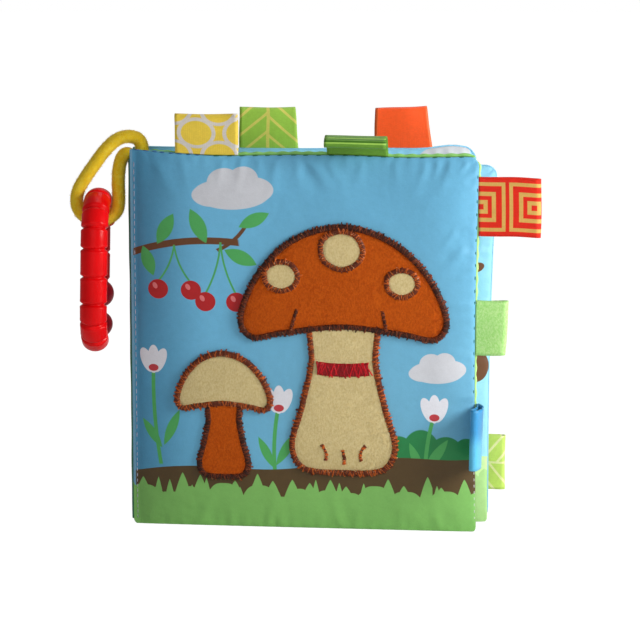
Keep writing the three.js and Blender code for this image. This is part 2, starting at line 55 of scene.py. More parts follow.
# Places of the book that the frame gives
JOINTS = {joint["name"]: joint for joint in frame["joints"]}
FRONT_HINGE = np.array(JOINTS["front_cover_hinge"]["pos_m"]) / MM
BACK_HINGE = np.array(JOINTS["back_cover_hinge"]["pos_m"]) / MM
SPINE = (FRONT_HINGE + BACK_HINGE) / 2 * np.array([1, 1, 0])

# Leaves
LEAF_WIDTH = 155
LEAF_HEIGHT = 170
CROWN = 4.4
FABRIC = 0.5
CLEARANCE = 0.3
MIDDLE_GUTTER = 8
MIDDLE_DROP = 3
SPINE_LIP = 3
SPINE_SWELL = 70
EDGE_ROLL = 20
SEAM_HALF = 0.5
DRAW_IN = 1.2
FOOT_CUT = 0.5
HINGE_OFFSET = 3
FAN = math.radians(5)
SEAM_STITCH = 5.7

# Corner radii of a leaf on its spine side and its free side, and how far the heads of the leaves sag
HEAD_CORNERS = (0.8, 5)
FOOT_CORNERS = (3, 2.5)
FRONT_SAG = ((0, 0), (0.11, 1.39), (0.245, 2.11), (0.471, 1.01), (0.629, 1.1), (0.787, 2.4), (1, 2.4))
MIDDLE_SAG = ((0, 0), (1, 5))
BACK_SAG = ((0, 0), (0.7, 0.4), (0.86, 1.2), (0.93, -0.6), (0.97, 0.6), (1, 2.2))
MIDDLE_FOOT_TAPER = 2.5

# Raised plush pieces of the cover, placed by shares of the leaf as in the solids
BORDER = 3.4
PLUSH_LIFT = 1.1
SPOT_LIFT = 1.5
STEM_LIFT = 0.7
EDGING_SINK = 0.45
EDGING_RISE = 1.3
PLUSH_BACKING = 0.4
SATIN_BACKING = 0.3
PILE_LENGTH = 1.1
PILE_WIDTH = 0.2
PILE_DENSITY = 5.0
PILE_ROOT = 0.15
PATCH_INSET = 0.4
THREAD_PITCH = 0.9
THREAD_WIDTH = 0.6
THREAD_SLANT = 0.34
THREAD_LIFT = 0.02
LARGE_TOADSTOOL = {
    "x": 0.62, "foot": 0.159, "ring": 0.412, "brim": 0.518,
    "cap": (92, 50), "stem": 46,
}
SMALL_TOADSTOOL = {
    "x": 0.271, "foot": 0.141, "brim": 0.3235,
    "cap": (42, 25), "stem": 22,
}
LARGE_SPOTS = {
    "left": (-0.304, 0.42, 15, 13),
    "middle": (-0.011, 0.62, 19, 17),
    "right": (0.283, 0.38, 14, 12),
}
STEM_TUCK_SHARE = 1.085
NECK_SHARE = 0.62
RING_BAND = 6.5
CAP_SHARES = [
    (0, 0.1), (0.3, 0.04), (0.45, 0), (0.5, 0.12), (0.43, 0.5), (0.25, 0.85),
    (0, 1), (-0.25, 0.87), (-0.43, 0.52), (-0.5, 0.12), (-0.45, 0), (-0.3, 0.04),
]
STEM_SHARES = [
    (0, 0), (0.4, 0.03), (0.5, 0.16), (0.4, 0.45), (0.31, 0.75), (0.3, 1.08),
    (0, 1.12), (-0.3, 1.08), (-0.31, 0.75), (-0.4, 0.45), (-0.5, 0.16), (-0.4, 0.03),
]
RING_SHARES = [
    (0, 0), (0.28, 0.05), (0.45, 0.12), (0.5, 0.6), (0.45, 1.1), (0.28, 1.02),
    (0, 1), (-0.28, 1.02), (-0.45, 1.1), (-0.5, 0.6), (-0.45, 0.12), (-0.28, 0.05),
]
SPOT_SHARES = [(0, 0), (0.4, 0.2), (0.5, 0.55), (0.3, 0.92), (-0.1, 1), (-0.45, 0.75), (-0.42, 0.25)]

# Ribbon loops: leaf, edge, place along it as a share, width, reach, lean and bend in degrees
RIBBON = 0.5
LOOP_FOLD = 1.7
# Pitch of the painted shade bands between the terry's rows of loops
TERRY_ROW = 1.1
LOOPS = {
    "tag_rings": ("front", "top", 0.223, 28.1, 17.2, 4, 6),
    "tag_plain_green": ("front", "top", 0.655, 27, 18, 3, 120),
    "tag_squares": ("front", "side", 0.857, 26, 27, 2, 8),
    "tag_terry": ("front", "side", 0.541, 24.3, 13.8, 0, 6),
    "tag_blue": ("front", "side", 0.262, 27, 18, 66, 50),
    "tag_veins": ("back", "top", 0.395, 26.7, 18.3, 2, 5),
    "tag_orange": ("back", "top", 0.789, 26.2, 18, 0, -5),
    "tag_chevrons": ("back", "side", 0.139, 25.4, 15, 0, 5),
}

# How the outer end of a loop differs from square: right side drawn in, slope across it and shear
LOOP_ENDS = {
    "tag_orange": (2.7, 1.2, 0), "tag_veins": (1.4, 0, 0),
    "tag_terry": (0, -0.8, 0.6), "tag_blue": (0, 0, 2.6),
}

# Cord loop and the link that hangs in its bight
CORD = 5.8
CORD_ROUTE = [
    (4.8, 0, 167.4), (4.8, 0, 171), (3.2, 0, 173.8), (-0.8, -0.3, 175), (-5.8, -0.4, 173.8),
    (-11.4, -0.4, 169), (-16.4, -0.3, 162.4), (-20.8, 0, 156.2), (-23.8, 0, 151),
    (-24.7, 0, 146.4), (-23.7, 0, 142), (-20.7, 0, 138.8), (-17.2, 0, 137.9),
    (-15.2, 0, 137.9), (-13.2, 0, 137.9), (-9.7, 0, 138.8), (-6.6, 0, 142),
    (-5.8, 0, 147), (-5.9, 0, 152.8), (-5.7, 0, 158.5), (-5, 0, 162.8), (-3.9, 0, 165.8), (-2, 0, 167.4),
]
CORD_TUCK = (0.3, 0, 166.3)
BIGHT = CORD_ROUTE[13]
LINK_HEIGHT = 74.5
LINK_WIDTH = 45
LINK_DEPTH = 10.8
LINK_THICKNESS = 12.2
LINK_HANG = 0.5
LINK_RADIUS = (LINK_WIDTH - LINK_DEPTH) / 2
LINK_STRAIGHT = LINK_HEIGHT - LINK_WIDTH
LINK_GAP = 2
LINK_GAP_TURN = math.radians(18)
# Grooves, as lengths along the centre line from the lower end of the rear arm's straight
LINK_GROOVES = (8.3, 21, 33.6, 42.8, 51.9, 60.8, 69.7, 77.4, 86.3, 98.9, 111, 119.3, 127.2, 134.8, 147.4)
LINK_RIBS = len(LINK_GROOVES) + 1
GROOVE_DEPTH = 1.15
GROOVE_WIDTH = 2.0
RIB_BASE = 0.976
RIB_LIP = 0.014
RIB_BELLY = 0.008
NECK_SIZE = 0.68
TAPER_RIBS = 2
LINK_TURN = math.radians(1.2)
LINK_LEAN = math.radians(1.5)


# Camera, stage and light

CAMERA_AZIMUTH = math.radians(1.12)
CAMERA_ELEVATION = math.radians(8.25)
CAMERA_DISTANCE = 1.0
CAMERA_TARGET = Vector((0.0046, -0.0027, 0.0939))
CAMERA_LENS = 126.1


def add_object(name, data):
    made = bpy.data.objects.new(name, data)
    bpy.context.scene.collection.objects.link(made)
    return made


def place_camera():
    data = bpy.data.cameras.new("camera")
    data.lens = CAMERA_LENS
    data.clip_start = 0.01
    camera = add_object("camera", data)
    level = math.cos(CAMERA_ELEVATION)
    back = Vector((
        math.sin(CAMERA_AZIMUTH) * level,
        -math.cos(CAMERA_AZIMUTH) * level,
        math.sin(CAMERA_ELEVATION),
    ))
    camera.location = CAMERA_TARGET + back * CAMERA_DISTANCE
    camera.rotation_euler = (-back).to_track_quat("-Z", "Y").to_euler()
    bpy.context.scene.camera = camera


def add_lamp(name, place, size, power, tint=(1, 1, 1)):
    data = bpy.data.lights.new(name, "AREA")
    data.shape = "DISK"
    data.size = size
    data.energy = power
    data.color = tint
    lamp = add_object(name, data)
    lamp.location = place
    lamp.rotation_euler = (CAMERA_TARGET - Vector(place)).to_track_quat("-Z", "Y").to_euler()


def light_scene():
    add_lamp("key_lamp", (0.43, -0.22, 0.26), 0.22, 2.45, (1, 0.99, 0.96))
    add_lamp("fill_lamp", (-0.1, -1.0, 0.4), 0.8, 1.05, (0.97, 0.98, 1))
    add_lamp("top_lamp", (0.1, 0.4, 1.0), 0.6, 2.4)
    world = bpy.data.worlds.new("studio")
    bpy.context.scene.world = world
    world.use_nodes = True
    board = Board(world.node_tree)
    ambient = board.add("ShaderNodeBackground", {"Color": (1, 1, 1, 1), "Strength": 0.27})
    backdrop = board.add("ShaderNodeBackground", {"Color": (1, 1, 1, 1), "Strength": 1.0})
    path = board.add("ShaderNodeLightPath")
    mixed = board.add(
        "ShaderNodeMixShader",
        {0: path.outputs["Is Camera Ray"], 1: ambient.outputs[0], 2: backdrop.outputs[0]},
    )
    board.output("World", mixed)


def lay_floor():
    bm = bmesh.new()
    bmesh.ops.create_grid(bm, x_segments=1, y_segments=1, size=30)
    data = bpy.data.meshes.new("floor")
    bm.to_mesh(data)
    bm.free()
    floor = add_object("floor", data)
    board = new_board("floor_white")
    paper = board.add("ShaderNodeBsdfDiffuse", {"Color": (0.93, 0.93, 0.93, 1)})
    glow = board.add("ShaderNodeEmission", {"Color": (1, 1, 1, 1), "Strength": 1.1})
    path = board.add("ShaderNodeLightPath")
    share = board.math("MULTIPLY", path.outputs["Is Camera Ray"], 0.9)
    mixed = board.add("ShaderNodeMixShader", {0: share, 1: paper.outputs[0], 2: glow.outputs[0]})
    board.output("Material", mixed)
    data.materials.append(board.material)


# Node boards and the shader groups that several finishes share

def tone(code):
    """A colour written as #rrggbb, as the linear values that a shader takes."""
    parts = [int(code[i:i + 2], 16) / 255 for i in (1, 3, 5)]
    return (*[p / 12.92 if p <= 0.04045 else ((p + 0.055) / 1.055) ** 2.4 for p in parts], 1)


class Board:
    """A node tree that is filled in step by step."""

    def __init__(self, tree, material=None):
        self.tree = tree
        self.material = material
        tree.nodes.clear()

    def add(self, kind, values=None, **settings):
        node = self.tree.nodes.new(kind)
        for key, value in settings.items():
            setattr(node, key, value)
        for key, value in (values or {}).items():
            self.feed(node.inputs[key], value)
        return node

    def feed(self, socket, value):
        if isinstance(value, bpy.types.NodeSocket):
            self.tree.links.new(value, socket)
        else:
            socket.default_value = value

    def math(self, operation, *values, clamp=False):
        node = self.add("ShaderNodeMath", dict(enumerate(values)), operation=operation, use_clamp=clamp)
        return node.outputs[0]

    def vector(self, operation, *values):
        node = self.add("ShaderNodeVectorMath", dict(enumerate(values)), operation=operation)
        return node.outputs["Value" if operation == "LENGTH" else "Vector"]

    def split(self, vector):
        """The first two parts of a vector."""
        return self.add("ShaderNodeSeparateXYZ", {0: vector}).outputs[:2]

    def apart(self, first, second):
        """How far apart two values are."""
        return self.math("ABSOLUTE", self.math("SUBTRACT", first, second))

    def shaded(self, color, shade):
        return self.add("ShaderNodeVectorMath", {0: color, "Scale": shade}, operation="SCALE").outputs[0]

    def output(self, kind, shader):
        self.tree.links.new(shader.outputs[0], self.add(f"ShaderNodeOutput{kind}").inputs[0])

    def mix(self, share, first, second):
        node = self.add("ShaderNodeMix", {0: share, 6: first, 7: second}, data_type="RGBA")
        return node.outputs[2]

    def ramp(self, value, low, high, to_low=0.0, to_high=1.0):
        node = self.add(
            "ShaderNodeMapRange",
            {0: value, 1: low, 2: high, 3: to_low, 4: to_high},
            interpolation_type="SMOOTHSTEP",
        )
        return node.outputs[0]

    def noise(self, place, scale, detail, roughness):
        node = self.add(
            "ShaderNodeTexNoise",
            {"Vector": place, "Scale": scale, "Detail": detail, "Roughness": roughness},
        )
        return node.outputs[0]

    def place(self, name, **values):
        """A shader group placed here with its own values; gives its outputs."""
        node = self.tree.nodes.new("ShaderNodeGroup")
        node.node_tree = bpy.data.node_groups[name]
        for key, value in values.items():
            self.feed(node.inputs[key], value)
        return node.outputs

    def finish(self, values, bump, strength, distance):
        """The Principled shader with a bump of the given height, led to the output."""
        shader = self.add("ShaderNodeBsdfPrincipled", values)
        relief = {"Height": bump, "Strength": strength, "Distance": distance * MM}
        self.feed(shader.inputs["Normal"], self.add("ShaderNodeBump", relief).outputs[0])
        self.output("Material", shader)
        return self.material


def new_board(name):
    material = bpy.data.materials.new(name)
    material.use_nodes = True
    return Board(material.node_tree, material)


def make_group(name, inputs, outputs, build):
    """A shader group whose inputs are (name, kind, value) and whose outputs are (name, kind)."""
    tree = bpy.data.node_groups.new(name, "ShaderNodeTree")
    for label, kind, value in inputs:
        socket = tree.interface.new_socket(name=label, in_out="INPUT", socket_type=f"NodeSocket{kind}")
        if value is not None:
            socket.default_value = value
    for label, kind in outputs:
        tree.interface.new_socket(name=label, in_out="OUTPUT", socket_type=f"NodeSocket{kind}")
    board = Board(tree)
    given = board.add("NodeGroupInput")
    results = build(board, {label: given.outputs[label] for label, _, _ in inputs})
    last = board.add("NodeGroupOutput")
    for label, _ in outputs:
        tree.links.new(results[label], last.inputs[label])


# Half the width over which a printed edge fades
PRINT_EDGE = 0.12


def build_groups():
    place = ("Place", "Vector", None)
    shape = [place, ("Centre", "Vector", (0, 0, 0)), ("Size", "Vector", (1, 1, 1)), ("Turn", "Float", 0.0)]

    def turned(board, given):
        moved = board.vector("SUBTRACT", given["Place"], given["Centre"])
        back = board.math("MULTIPLY", given["Turn"], -1)
        values = {"Vector": moved, "Angle": back}
        return board.add("ShaderNodeVectorRotate", values, rotation_type="Z_AXIS").outputs[0]

    def local(board, given):
        return board.vector("DIVIDE", turned(board, given), given["Size"])

    def printed_oval(board, given):
        reach = board.vector("LENGTH", local(board, given))
        return {"Mask": board.ramp(reach, 1.02, 0.98)}

    def printed_leaf(board, given):
        along, aside = board.split(local(board, given))
        half = board.math("SUBTRACT", 1, board.math("POWER", along, 2))
        room = board.math("SUBTRACT", half, board.math("ABSOLUTE", aside))
        return {"Mask": board.ramp(room, -0.06, 0.06)}

    def printed_stroke(board, given):
        far, side = board.split(turned(board, given))
        along = board.math("DIVIDE", far, given["Reach"])
        fall = board.math("SUBTRACT", 1, board.math("POWER", along, 2))
        aside = board.apart(side, board.math("MULTIPLY", fall, given["Bend"]))
        beside = board.ramp(aside, given["Wide"], board.math("SUBTRACT", given["Wide"], 0.25))
        inside = board.ramp(board.math("ABSOLUTE", along), 1.0, 0.96)
        return {"Mask": board.math("MULTIPLY", beside, inside)}

    def printed_blades(board, given):
        right, level = board.split(given["Place"])
        across = board.math("DIVIDE", board.math("ADD", right, given["Shift"]), given["Wide"])
        cell = board.math("FLOOR", across)
        luck = board.add("ShaderNodeTexWhiteNoise", {"W": cell}, noise_dimensions="1D").outputs["Value"]
        inside = board.math("SUBTRACT", board.math("SUBTRACT", across, cell), 0.5)
        slant = board.math("MULTIPLY", board.math("SUBTRACT", luck, 0.5), 0.55)
        flank = board.math("MULTIPLY", board.apart(inside, slant), 2)
        tip = board.math("SUBTRACT", 1, board.math("POWER", flank, given["Point"]), clamp=True)
        tall = board.math("MULTIPLY", given["Tall"], board.math("MULTIPLY_ADD", luck, 0.75, 0.3))
        top = board.math("MULTIPLY_ADD", tip, tall, given["Base"])
        over = board.math("SUBTRACT", top, level)
        return {"Mask": board.ramp(over, -PRINT_EDGE, PRINT_EDGE)}

    def woven_cloth(board, given):
        sides = board.split(board.vector("MULTIPLY", given["Place"], given["Threads"]))
        waves = [board.math("SINE", board.math("MULTIPLY", side, 2 * math.pi)) for side in sides]
        cells = dict(enumerate(board.math("FLOOR", side) for side in sides))
        spot = board.add("ShaderNodeCombineXYZ", cells)
        luck = board.add("ShaderNodeTexWhiteNoise", {0: spot.outputs[0]}, noise_dimensions="2D")
        weave = board.math("MULTIPLY_ADD", waves[0], 0.35, board.math("MULTIPLY", waves[1], 0.65))
        return {"Height": weave, "Luck": luck.outputs["Value"]}

    def soft_wear(board, given):
        broad = board.noise(given["Place"], given["Broad"], 3.0, 0.55)
        fine = board.noise(given["Place"], given["Fine"], 4.0, 0.6)
        mixed = board.math("MULTIPLY_ADD", fine, 0.4, board.math("MULTIPLY", broad, 0.6))
        return {"Shade": board.ramp(mixed, 0.3, 0.7, given["Low"], given["High"])}

    mask = [("Mask", "Float")]
    make_group("printed oval", shape, mask, printed_oval)
    make_group("printed leaf", shape, mask, printed_leaf)
    make_group(
        "printed stroke",
        [place, shape[1], shape[3],
         ("Reach", "Float", 10.0), ("Bend", "Float", 0.0), ("Wide", "Float", 1.0)],
        mask, printed_stroke,
    )
    make_group(
        "printed blades",
        [place, ("Base", "Float", 20.0), ("Wide", "Float", 8.0), ("Tall", "Float", 8.0),
         ("Shift", "Float", 0.0), ("Point", "Float", 1.25)],
        mask, printed_blades,
    )
    make_group(
        "woven cloth", [place, ("Threads", "Vector", (3, 3, 3))],
        [("Height", "Float"), ("Luck", "Float")], woven_cloth,
    )
    make_group(
        "soft wear",
        [place, ("Broad", "Float", 0.03), ("Fine", "Float", 0.4),
         ("Low", "Float", 0.9), ("High", "Float", 1.0)],
        [("Shade", "Float")], soft_wear,
    )


def worn_cloth(board, place, threads, wear, grain):
    """A cloth's shade, from its wear and the luck of each thread, and the outputs of its weave."""
    weave = board.place("woven cloth", Place=place, Threads=threads)
    worn = board.place("soft wear", Place=place, **wear)[0]
    lucky = board.math("MULTIPLY_ADD", weave["Luck"], grain, 1 - grain / 2)
    return board.math("MULTIPLY", worn, lucky), weave


def cloth_place(board):
    """The place on the cloth in millimetres, from the piece's own UV map, which is in decimetres."""
    chart = board.add("ShaderNodeUVMap", uv_map="cloth")
    return board.vector("MULTIPLY", chart.outputs[0], (100, 100, 100))


# Printed cloth

SKY = "#67aed2"
SKY_LIGHT = "#6db0d0"
# Painted light: a lighter sky beside the painted shade at the spine
SKY_PAINTED_LIGHT = "#6fbae0"
# Painted shade: a darker sky at the spine
SKY_PAINTED_SHADE = "#4d95bc"
CLOUD = "#ced0d7"
GRASS = "#80bc62"
PAGE_GRASS = "#abd98c"
BUSH = "#28864a"
SOIL = "#564224"
BARK = "#6b4226"
CHERRY = "#b81f22"
LEAF_GREEN = "#50ab5c"
PETAL = "#e4e4ec"
HEART = "#c23c44"

# Width of the painted shade at a print's left edge (the spine on the front cover), used by both the finish
# and the sky
SPINE_SHADE_WIDTH = 38


class Picture:
    """Flat printed shapes, each painted over the ones before, in millimetres on one leaf."""

    def __init__(self, name, ground):
        self.board = new_board(name)
        self.place = cloth_place(self.board)
        self.across, self.up = self.board.split(self.place)
        self.color = ground(self)

    def paint(self, mask, color):
        self.color = self.board.mix(mask, self.color, tone(color))

    def stamp(self, shape, color, **values):
        self.paint(self.board.place(f"printed {shape}", Place=self.place, **values)[0], color)

    def ovals(self, color, *ovals, shape="oval"):
        for x, z, wide, tall, turn in ovals:
            self.stamp(shape, color, Centre=(x, z, 0), Size=(wide, tall, 1), Turn=math.radians(turn))

    def leaves(self, color, *leaves):
        self.ovals(color, *leaves, shape="leaf")

    def stroke(self, color, x, z, turn, reach, bend, wide):
        self.stamp(
            "stroke", color, Centre=(x, z, 0), Turn=math.radians(turn), Reach=reach, Bend=bend, Wide=wide,
        )

    def blades(self, color, base, wide, tall, shift=0.0, point=1.25):
        self.stamp("blades", color, Base=base, Wide=wide, Tall=tall, Shift=shift, Point=point)

    def slope(self, color, level, tilt, wave, length):
        """Everything below a gently waving line."""
        board = self.board
        swing = board.math("SINE", board.math("DIVIDE", self.across, length / (2 * math.pi)))
        line = board.math("MULTIPLY_ADD", swing, wave, level)
        line = board.math("MULTIPLY_ADD", self.across, tilt, line)
        self.paint(board.ramp(board.math("SUBTRACT", line, self.up), -PRINT_EDGE, PRINT_EDGE), color)

    def strip(self, color, width):
        """The narrow strip between the spine's stitches and the edge, painted a greyer, darker blue as
        painted shade where the cloth rolls away at the spine.
        """
        self.paint(self.board.ramp(self.across, width, width - 0.5), color)

    def cloud(self, x, z, size):
        puffs = (
            (0, 0, 1, 0.42), (-0.55, -0.05, 0.5, 0.3), (0.5, 0.1, 0.6, 0.36),
            (-0.2, 0.3, 0.45, 0.4), (0.3, 0.38, 0.4, 0.36),
        )
        self.ovals(CLOUD, *[(x + a * size, z + b * size, c * size, d * size, 0) for a, b, c, d in puffs])

    def tulip(self, x, z, lean, stalk, petal, heart):
        """A flower on a bent stalk with two leaves; x and z are the middle of its bloom."""
        foot = x - math.tan(math.radians(lean)) * stalk
        turn = 90 - lean
        self.stroke(LEAF_GREEN, (x + foot) / 2, z - stalk / 2, turn, stalk / 2, 1.2, 1.0)
        self.leaves(
            LEAF_GREEN,
            (foot + 5, z - stalk * 0.62, 9, 2.2, turn - 28),
            (foot - 4, z - stalk * 0.68, 8, 2.0, turn + 30),
        )
        self.ovals(
            petal, (x - 3, z + 2, 5.8, 2.6, 112), (x + 3, z + 2, 5.8, 2.6, 68), (x, z + 2.5, 6.4, 2.7, 90),
        )
        self.ovals(heart, (x, z - 1.4, 2.3, 1.6, 0))

    def cherries(self, x, z, drop, spread):
        """A pair of cherries that hang from a place on the branch."""
        for side in (-1, 1):
            reach = math.hypot(spread, drop) / 2
            turn = math.degrees(math.atan2(drop, -side * spread))
            self.stroke(LEAF_GREEN, x + side * spread / 2, z - drop / 2, turn, reach, side * 1.4, 0.55)
            self.ovals(CHERRY, (x + side * spread, z - drop - 3.5, 4.6, 4.4, 0))
            self.ovals("#e4787a", (x + side * spread - 1.4, z - drop - 2, 1.0, 1.5, 30))

    def finish(self, roughness=0.44, spine_shade=1.0):
        """The finish of the print; spine_shade is painted shade that darkens the print towards its left
        edge (the spine on the front cover), where the swelling cloth turns away from the key lamp.
        """
        board = self.board
        wear = {"Broad": 0.02, "Fine": 0.3, "Low": 0.94, "High": 1.03}
        shade, weave = worn_cloth(board, self.place, (2.6, 3.4, 1), wear, 0.05)
        # Painted shade: the colour is darkened down to spine_shade at the print's left edge
        painted_spine_shade = board.ramp(self.across, 0, SPINE_SHADE_WIDTH, spine_shade, 1.0)
        color = board.shaded(self.color, board.math("MULTIPLY", shade, painted_spine_shade))
        rough = board.math("MULTIPLY_ADD", weave["Luck"], 0.08, roughness)
        creases = board.noise(self.place, 0.16, 3.0, 0.45)
        height = board.math("MULTIPLY_ADD", weave["Height"], 0.05, creases)
        return board.finish({
            "Base Color": color, "Roughness": rough, "Specular IOR Level": 0.3,
            "Sheen Weight": 0.03, "Sheen Roughness": 0.4,
        }, bump=height, strength=0.5, distance=0.5)


def sky(low, high, deep, near=None):
    """Sky from low to high, with painted shade in the deep colour at its left edge (the spine on the front
    cover) and, where near is given, painted light in that colour beside it.
    """
    def ground(picture):
        board = picture.board
        rising = board.ramp(picture.up, 40, 160)
        # Share of the painted shade, strongest at the print's left edge
        across = board.ramp(picture.across, 0, SPINE_SHADE_WIDTH)
        plain = board.mix(rising, tone(low), tone(high))
        # Painted light: near lightens the sky beside the painted shade, fading out by 85 across
        if near is not None:
            plain = board.mix(board.ramp(picture.across, 28, 85), tone(near), plain)
        return board.mix(across, tone(deep), plain)
    return ground


def cover_print():
    picture = Picture("cover_print", sky(SKY_LIGHT, SKY, SKY_PAINTED_SHADE, SKY_PAINTED_LIGHT))
    picture.cloud(46, 153, 17)
    picture.cloud(138, 73, 12)
    picture.stroke(BARK, 24, 127, 8, 26, 3.5, 1.7)
    picture.stroke(BARK, 46, 133, 42, 9, -1.5, 1.0)
    picture.leaves(
        LEAF_GREEN,
        (16, 136, 8, 3.2, 62), (31, 138, 8.5, 3.4, 115), (50, 124, 8, 3.2, -25),
        (56, 141, 7.5, 3.0, 25), (8, 121, 7, 3.0, -70),
    )
    picture.cherries(20, 129, 17, 7.5)
    picture.cherries(41, 131, 24, 7)
    picture.ovals(
        BUSH, (112, 30, 7, 11, 0), (121, 34, 8, 10, 0), (131, 35, 9, 12, 0),
        (142, 33, 9, 11, 0), (151, 33, 7, 10, 0),
    )
    picture.tulip(10, 74, -4, 46, PETAL, HEART)
    picture.tulip(137, 54, 8, 30, PETAL, HEART)
    picture.tulip(67, 57, 3, 32, PETAL, HEART)
    picture.slope(SOIL, 25, 0.065, 1.6, 90)
    # Painted shade: the strip beside the spine is greyer and darker than the sky
    picture.strip("#6fa2c0", 1.4)
    picture.blades(GRASS, 13.5, 8.5, 12)
    picture.blades(GRASS, 11, 5.5, 12, 3.1)
    picture.blades(GRASS, 12, 12.5, 7, 7.7, 2.6)
    picture.blades(GRASS, 12.5, 17, 8.5, 4.2, 3.2)
    # The cover's print gets painted shade towards the spine
    return picture.finish(spine_shade=0.78)


def page_print():
    """An inner page: sky, clouds, a hill and two flowers."""
    # The page's sky is also painted darker at its left edge (#78c2ea) as painted shade
    picture = Picture("page_print", sky("#9adaf5", "#8ccff0", "#78c2ea"))
    picture.cloud(141, 166.5, 12)
    picture.cloud(50, 146, 15)
    picture.ovals(BARK, (157, 73, 6.0, 7.4, 0), (156, 119, 3.6, 2.2, 20))
    picture.slope("#c6eaa4", 27, 0.01, 3, 120)
    picture.tulip(40, 78, 5, 44, "#f2c84c", "#d9762b")
    picture.tulip(96, 66, -6, 36, "#e6788c", "#b8304a")
    picture.blades(PAGE_GRASS, 22, 7, 7, 2.0)
    return picture.finish()


def meadow_print():
    """The page behind the front cover: a green field with round blossoms."""
    def ground(picture):
        board = picture.board
        brown = board.ramp(picture.up, 27, 25.5)
        return board.mix(brown, tone("#7ed23e"), tone("#6b4a35"))
    picture = Picture("meadow_print", ground)
    for x, z in ((38, 120), (110, 132), (74, 82), (120, 60)):
        for turn in range(0, 180, 45):
            picture.ovals("#f4efe2", (x, z, 9.5, 2.6, turn))
        picture.ovals("#f0b83a", (x, z, 3.6, 3.6, 0))
    return picture.finish()


def plain_cloth(name, color):
    return Picture(name, lambda _: tone(color)[:3]).finish(0.6)


# Finishes that follow the object's place

def object_place(board):
    """The place on the object in millimetres."""
    chart = board.add("ShaderNodeTexCoord")
    return board.vector("MULTIPLY", chart.outputs["Object"], (1000, 1000, 1000))


def luck_shade(board):
    """A shade that differs from strand to strand."""
    luck = board.add("ShaderNodeAttribute", attribute_name="luck")
    return board.ramp(luck.outputs["Fac"], 0.0, 1.0)


def plush_cloth(name, color, deep):
    board = new_board(name)
    place = object_place(board)
    nap = board.vector("MULTIPLY", place, (1.3, 1.3, 0.8))
    patches = board.ramp(board.noise(nap, 1.1, 4.0, 0.65), 0.35, 0.65)
    shade = luck_shade(board)
    share = board.math("MULTIPLY_ADD", patches, 0.55, board.math("MULTIPLY", shade, 0.45))
    mixed = board.mix(share, tone(deep), tone(color))
    pile = board.noise(place, 3.5, 3.0, 0.7)
    return board.finish({
        "Base Color": mixed, "Roughness": 0.88, "Specular IOR Level": 0.08,
        "Sheen Weight": 0.06, "Sheen Roughness": 0.5,
    }, bump=pile, strength=0.8, distance=0.5)


def satin_thread(name, color, deep, painted_glint):
    board = new_board(name)
    place = object_place(board)
    luck = luck_shade(board)
    body = board.mix(board.ramp(luck, 0.0, 0.5), tone(deep), tone(color))
    # Painted highlight: short glints in the last colour, scattered by noise over the threads
    painted_glint_spots = board.ramp(board.noise(place, 1.6, 2.0, 0.6), 0.64, 0.74)
    color_with_painted_glints = board.mix(board.math("MULTIPLY", painted_glint_spots, board.ramp(luck, 0.1, 0.3)), body, tone(painted_glint))
    grain = board.noise(place, 6.0, 2.0, 0.5)
    return board.finish({
        "Base Color": color_with_painted_glints, "Roughness": 0.4, "Specular IOR Level": 0.22,
    }, bump=grain, strength=0.4, distance=0.1)


def fuzzy_cord():
    board = new_board("cord_yellow")
    place = object_place(board)
    luck = luck_shade(board)
    patches = board.noise(place, 0.5, 3.0, 0.6)
    share = board.math("MULTIPLY_ADD", patches, 0.7, board.math("MULTIPLY", luck, 0.4))
    mixed = board.mix(board.ramp(share, 0.25, 0.8), tone("#f4cc22"), tone("#fff262"))
    return board.finish({
        "Base Color": mixed, "Roughness": 0.9, "Specular IOR Level": 0.1,
        "Sheen Weight": 0.16, "Sheen Roughness": 0.5,
    }, bump=board.noise(place, 2.5, 3.0, 0.7), strength=0.7, distance=0.4)


def glossy_plastic():
    board = new_board("link_red")
    place = object_place(board)
    haze = board.noise(place, 0.08, 2.0, 0.5)
    scuffs = board.ramp(board.noise(place, 1.4, 5.0, 0.7), 0.55, 0.75)
    color = board.mix(board.ramp(haze, 0.3, 0.7), tone("#dc0206"), tone("#ea060c"))
    _, knob_painted_shade = board.split(board.add("ShaderNodeUVMap", uv_map="cloth").outputs[0])
    # Painted shade: the end ribs at the gap, the knobs, are painted a darker red
    color = board.mix(knob_painted_shade, color, tone("#bc1226"))
    rough = board.math("MULTIPLY_ADD", scuffs, 0.06, 0.29)
    return board.finish({
        "Base Color": color, "Roughness": rough, "Specular IOR Level": 0.15,
    }, bump=haze, strength=0.15, distance=0.3)


# Ribbons: u runs across the ribbon and v along it

RING_SHIFT = (0.6, 0.55)
RING_PERIOD = (20.4, 20)
RING_HALF = (7.8, 6.1)
SQUARE_PERIOD = 23.3
SQUARE_START = 1.0


def ribbon_base(name):
    board = new_board(name)
    place = cloth_place(board)
    return board, place, *board.split(place)


def ribbon_finish(board, place, color, roughness=0.45, ribs=(1.2, 2.2, 1), strength=0.5):
    wear = {"Broad": 0.05, "Fine": 0.5, "Low": 0.93, "High": 1.04}
    shade, weave = worn_cloth(board, place, ribs, wear, 0.07)
    return board.finish({
        "Base Color": board.shaded(color, shade), "Roughness": roughness, "Specular IOR Level": 0.3,
        "Sheen Weight": 0.05, "Sheen Roughness": 0.35,
    }, bump=weave["Height"], strength=strength, distance=0.08)


def plain_ribbon(name, color, edge, wide):
    board, place, across, _ = ribbon_base(name)
    selvage = board.ramp(board.apart(across, wide / 2), wide / 2 - 1.4, wide / 2 - 1.1)
    return ribbon_finish(board, place, board.mix(selvage, tone(color), tone(edge)), 0.4)


